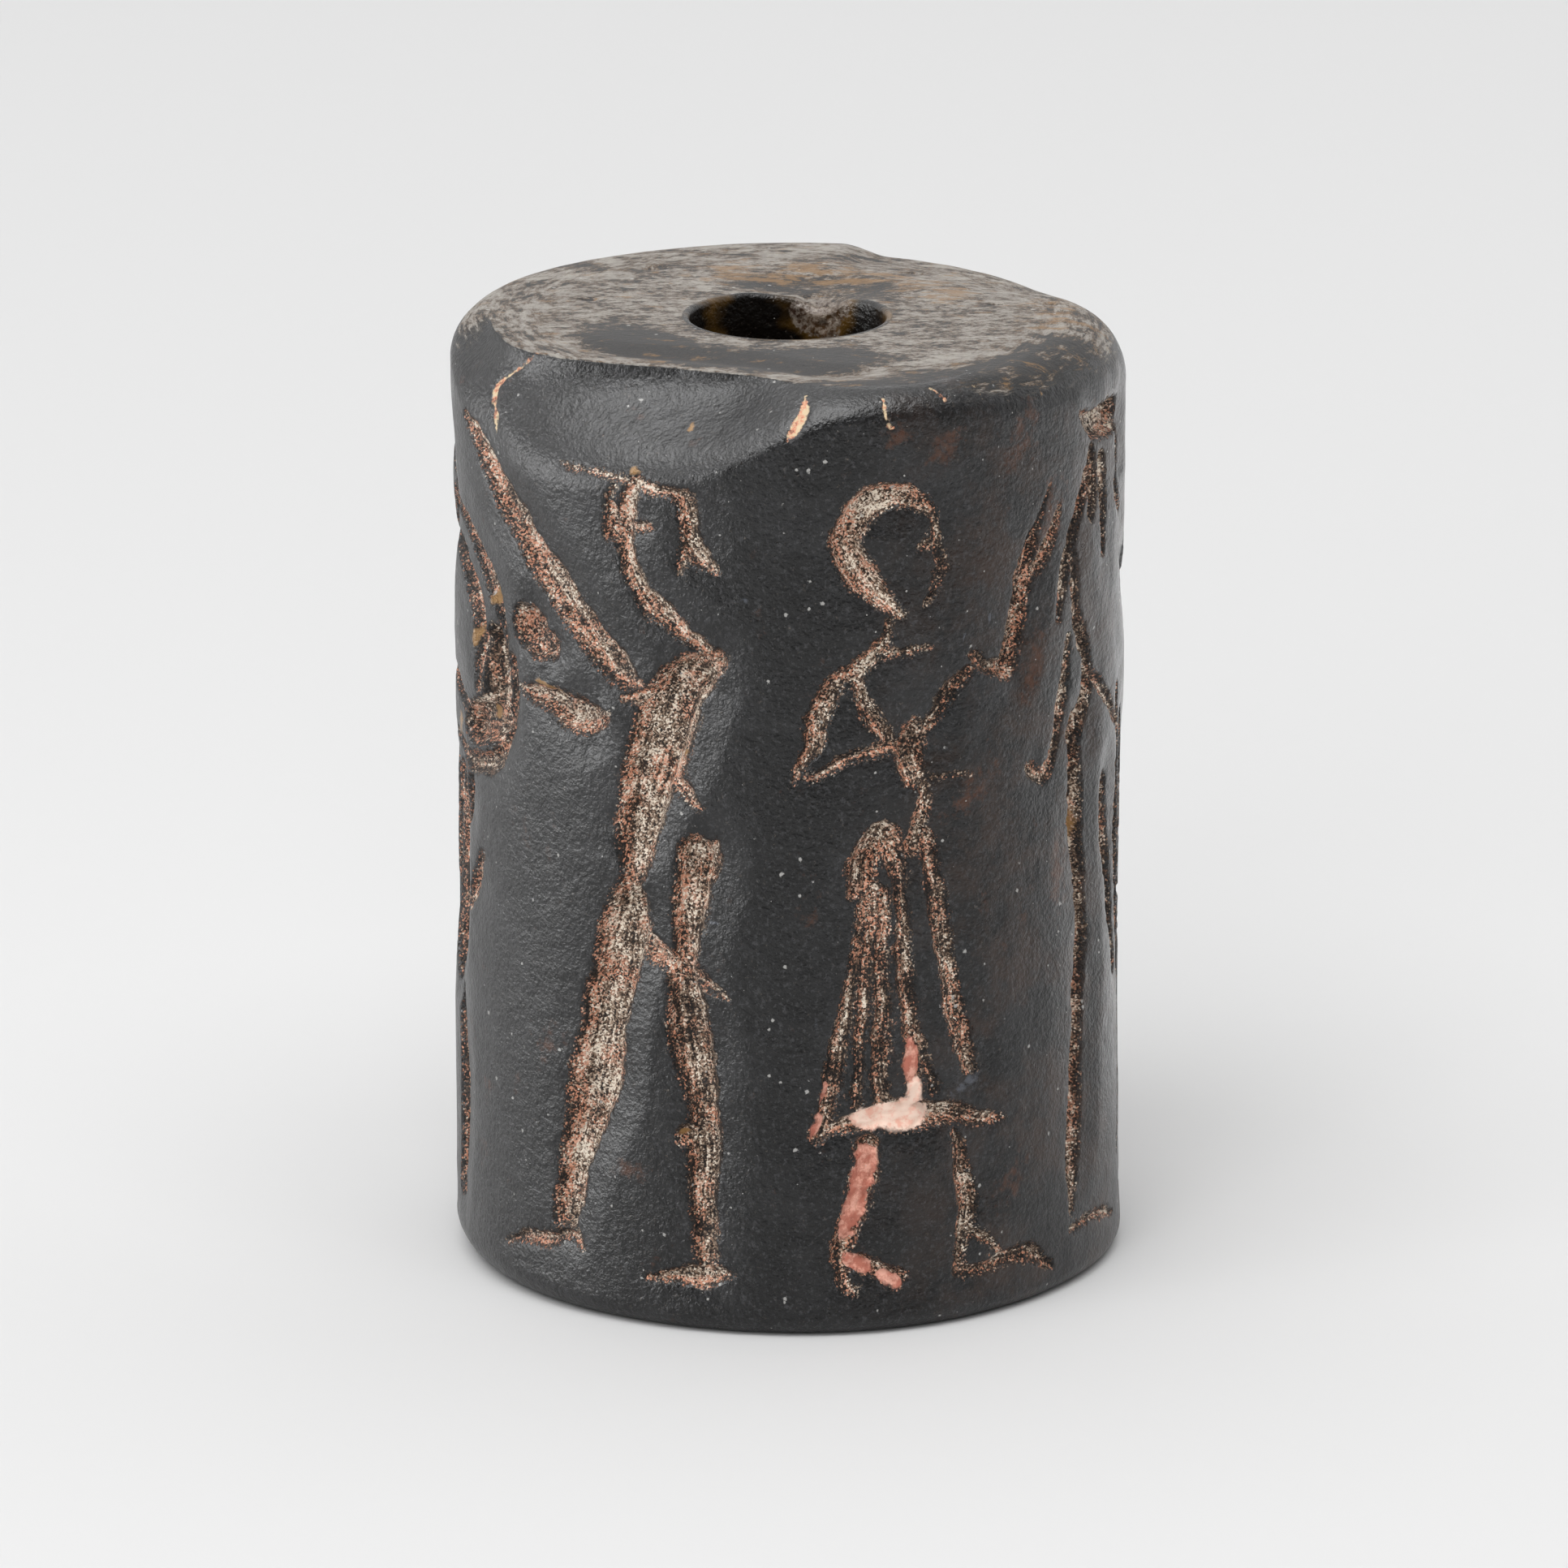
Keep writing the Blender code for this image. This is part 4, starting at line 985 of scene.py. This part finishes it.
def stoneMaterial():
    material, tree, shader = newMaterial("wornStone")
    place = addNode(tree, "TexCoord").outputs["Object"]
    place = scaledPlace(tree, place, *(1 / mm,) * 3)
    fine = noiseOf(tree, place, 7.0, 4.0, .7)
    coarse = noiseOf(tree, place, 3.0, 5.0, .7)

    colour = polishedWall(tree, place)
    colour, worn = wornTop(tree, place, colour)

    stained = ramp(tree, noiseOf(tree, place, .5, 3.0), .45, .7)
    bore = mixColour(tree, stained, finish["boreDark"], finish["amber"])
    colour = mixColour(tree, mark(tree, "boreWall"), colour, bore)
    gritty = maths(tree, "MULTIPLY", ragged(tree, mark(tree, "chip"), fine, 2.0, .2, .8), .8)
    gritTone = mixColour(tree, ramp(tree, fine, .40, .60), finish["crackDark"], finish["boreGrit"])
    colour = mixColour(tree, gritty, colour, gritTone)

    cells = addNode(tree, "TexVoronoi", {"Vector": place, "Scale": 1 / finish["grainSize"]})
    single = channels(tree, cells.outputs["Color"])[2]
    fray = maths(tree, "MULTIPLY_ADD", single, .45, maths(tree, "MULTIPLY", fine, .55))
    grained = ragged(tree, mark(tree, "edge"), fray, .42, -.09, .01)
    colour = mixColour(tree, grained, colour, grains(tree, place, cells))

    ochred = ragged(tree, mark(tree, "ochre"), coarse, 1.8, .15, .6)
    colour = mixColour(tree, ochred, colour, finish["ochre"])
    colour, filled = plastered(tree, colour, coarse)
    colour, cracked = cracksFilled(tree, colour, fine, coarse)
    tree.links.new(dusted(tree, place, colour, fine), shader.inputs["Base Color"])

    dull = noiseOf(tree, place, 1.6, 5.0, .65)
    rough = maths(tree, "MULTIPLY_ADD", dull, .26, finish["polishRoughness"] - .13)
    rough = mixValue(tree, worn, rough, finish["wornRoughness"])
    rough = mixValue(tree, maths(tree, "MAXIMUM", grained, cracked), rough, finish["grainRoughness"])
    tree.links.new(rough, shader.inputs["Roughness"])

    height = fineRelief(tree, place, cells, coarse, worn, filled, grained)
    bump = addNode(tree, "Bump", {"Height": height, "Strength": 1.0, "Distance": mm})
    tree.links.new(bump.outputs["Normal"], shader.inputs["Normal"])
    return material


studio = {
    "floorHalf": 3.0,
    "floorTone": .80,
    "elevation": 15.8804,
    "distance": .400326,
    "aimHeight": .014094,
    "focalPixels": 16534.56,
    "pictureWidth": 1932,
    "shiftPixels": -4.375,
    "sensor": 36.0,
    "skyFront": .06, "skyBehind": .90,
    # name: azimuth from the camera, elevation, distance, width, height, brightness, what it lights
    "lamps": {
        "keySoftbox": (-38.0, 58.0, .90, .60, .55, 3.0, "all"),
        "frontSoftbox": (25.0, 64.0, .90, .50, .45, 2.5, "all"),
        "frontFill": (-12.0, 26.0, .90, .60, .40, 3.0, "diffuse"),
        "lowCard": (-80.0, 9.0, .50, .52, .17, 8.0, "sheen"),
        "highCard": (-80.0, 68.0, .60, .60, .46, 3.3, "sheen"),
        "bevelCard": (30.0, 82.0, .60, .34, .40, 3.0, "sheen"),
    },
    # reflectors lying on the floor: middle in metres, turn, width, length and brightness
    "reflectors": {
        "leftReflector": (-.130, -.050, 0.0, .150, .220, .29),
        "rightReflector": (.060, .090, 0.0, .090, .160, .6),
    },
}


def placed(azimuth, elevation, distance, centre):
    turn, rise = radians(azimuth), radians(elevation)
    return centre + distance * Vector((sin(turn) * cos(rise), -cos(turn) * cos(rise), sin(rise)))


def makeFloor():
    side = studio["floorHalf"]
    mesh = bpy.data.meshes.new("floor")
    corners = [(-side, -side, 0), (side, -side, 0), (side, side, 0), (-side, side, 0)]
    mesh.from_pydata(corners, [], [(0, 1, 2, 3)])
    material, _, shader = newMaterial("paleFloor")
    shader.inputs["Base Color"].default_value = (studio["floorTone"],) * 3 + (1,)
    shader.inputs["Roughness"].default_value = .9
    shader.inputs["Specular IOR Level"].default_value = 0
    mesh.materials.append(material)
    floor = putInScene("floor", mesh)


def makeSky():
    # a pale backdrop behind the stone and a darker room on the camera's side
    world = bpy.data.worlds.new("studioSky")
    world.use_nodes = True
    tree = world.node_tree
    direction = addNode(tree, "TexCoord").outputs["Generated"]
    backward = addNode(tree, "SeparateXYZ", {0: direction}).outputs["Y"]
    strength = addNode(tree, "MapRange", {"Value": backward, "From Min": -.7, "From Max": .5,
                                          "To Min": studio["skyFront"], "To Max": studio["skyBehind"]})
    tree.links.new(strength.outputs["Result"], tree.nodes["Background"].inputs["Strength"])
    tree.nodes["Background"].inputs["Color"].default_value = (1, 1, 1, 1)
    bpy.context.scene.world = world


def addLamp(name, place, width, height, brightness, lights):
    lamp = bpy.data.lights.new(name, 'AREA')
    lamp.shape = 'RECTANGLE'
    lamp.size, lamp.size_y = width, height
    lamp.energy = brightness * pi * width * height
    thing = putInScene(name, lamp)
    thing.location = place
    thing.visible_camera = False
    thing.visible_diffuse = lights != "sheen"
    thing.visible_glossy = lights != "diffuse"
    return thing


def makeLamps(centre):
    for name, (azimuth, elevation, distance, width, height, brightness, lights) in studio["lamps"].items():
        thing = addLamp(name, placed(azimuth, elevation, distance, centre), width, height, brightness, lights)
        thing.rotation_euler = (centre - thing.location).to_track_quat('-Z', 'Y').to_euler()
    for name, (x, y, turn, width, length, brightness) in studio["reflectors"].items():
        thing = addLamp(name, (x, y, mm / 2), width, length, brightness, "sheen")
        thing.rotation_euler = (pi, 0, radians(turn))


def makeCamera(centre):
    lens = bpy.data.cameras.new("camera")
    lens.sensor_width = studio["sensor"]
    lens.lens = studio["focalPixels"] / studio["pictureWidth"] * studio["sensor"]
    lens.shift_x = studio["shiftPixels"] / studio["pictureWidth"]
    lens.clip_start, lens.clip_end = .01, 10
    camera = putInScene("camera", lens)
    camera.location = placed(0, studio["elevation"], studio["distance"], centre)
    camera.rotation_euler = (centre - camera.location).to_track_quat('-Z', 'Y').to_euler()
    bpy.context.scene.camera = camera


seal = makeSeal()
seal.data.materials.clear()
seal.data.materials.append(stoneMaterial())
print("stone finished")
makeFloor()
makeSky()
middle = Vector((0, 0, studio["aimHeight"]))
makeLamps(middle)
makeCamera(middle)
bpy.context.scene.view_settings.view_transform = 'Standard'
print("studio ready")
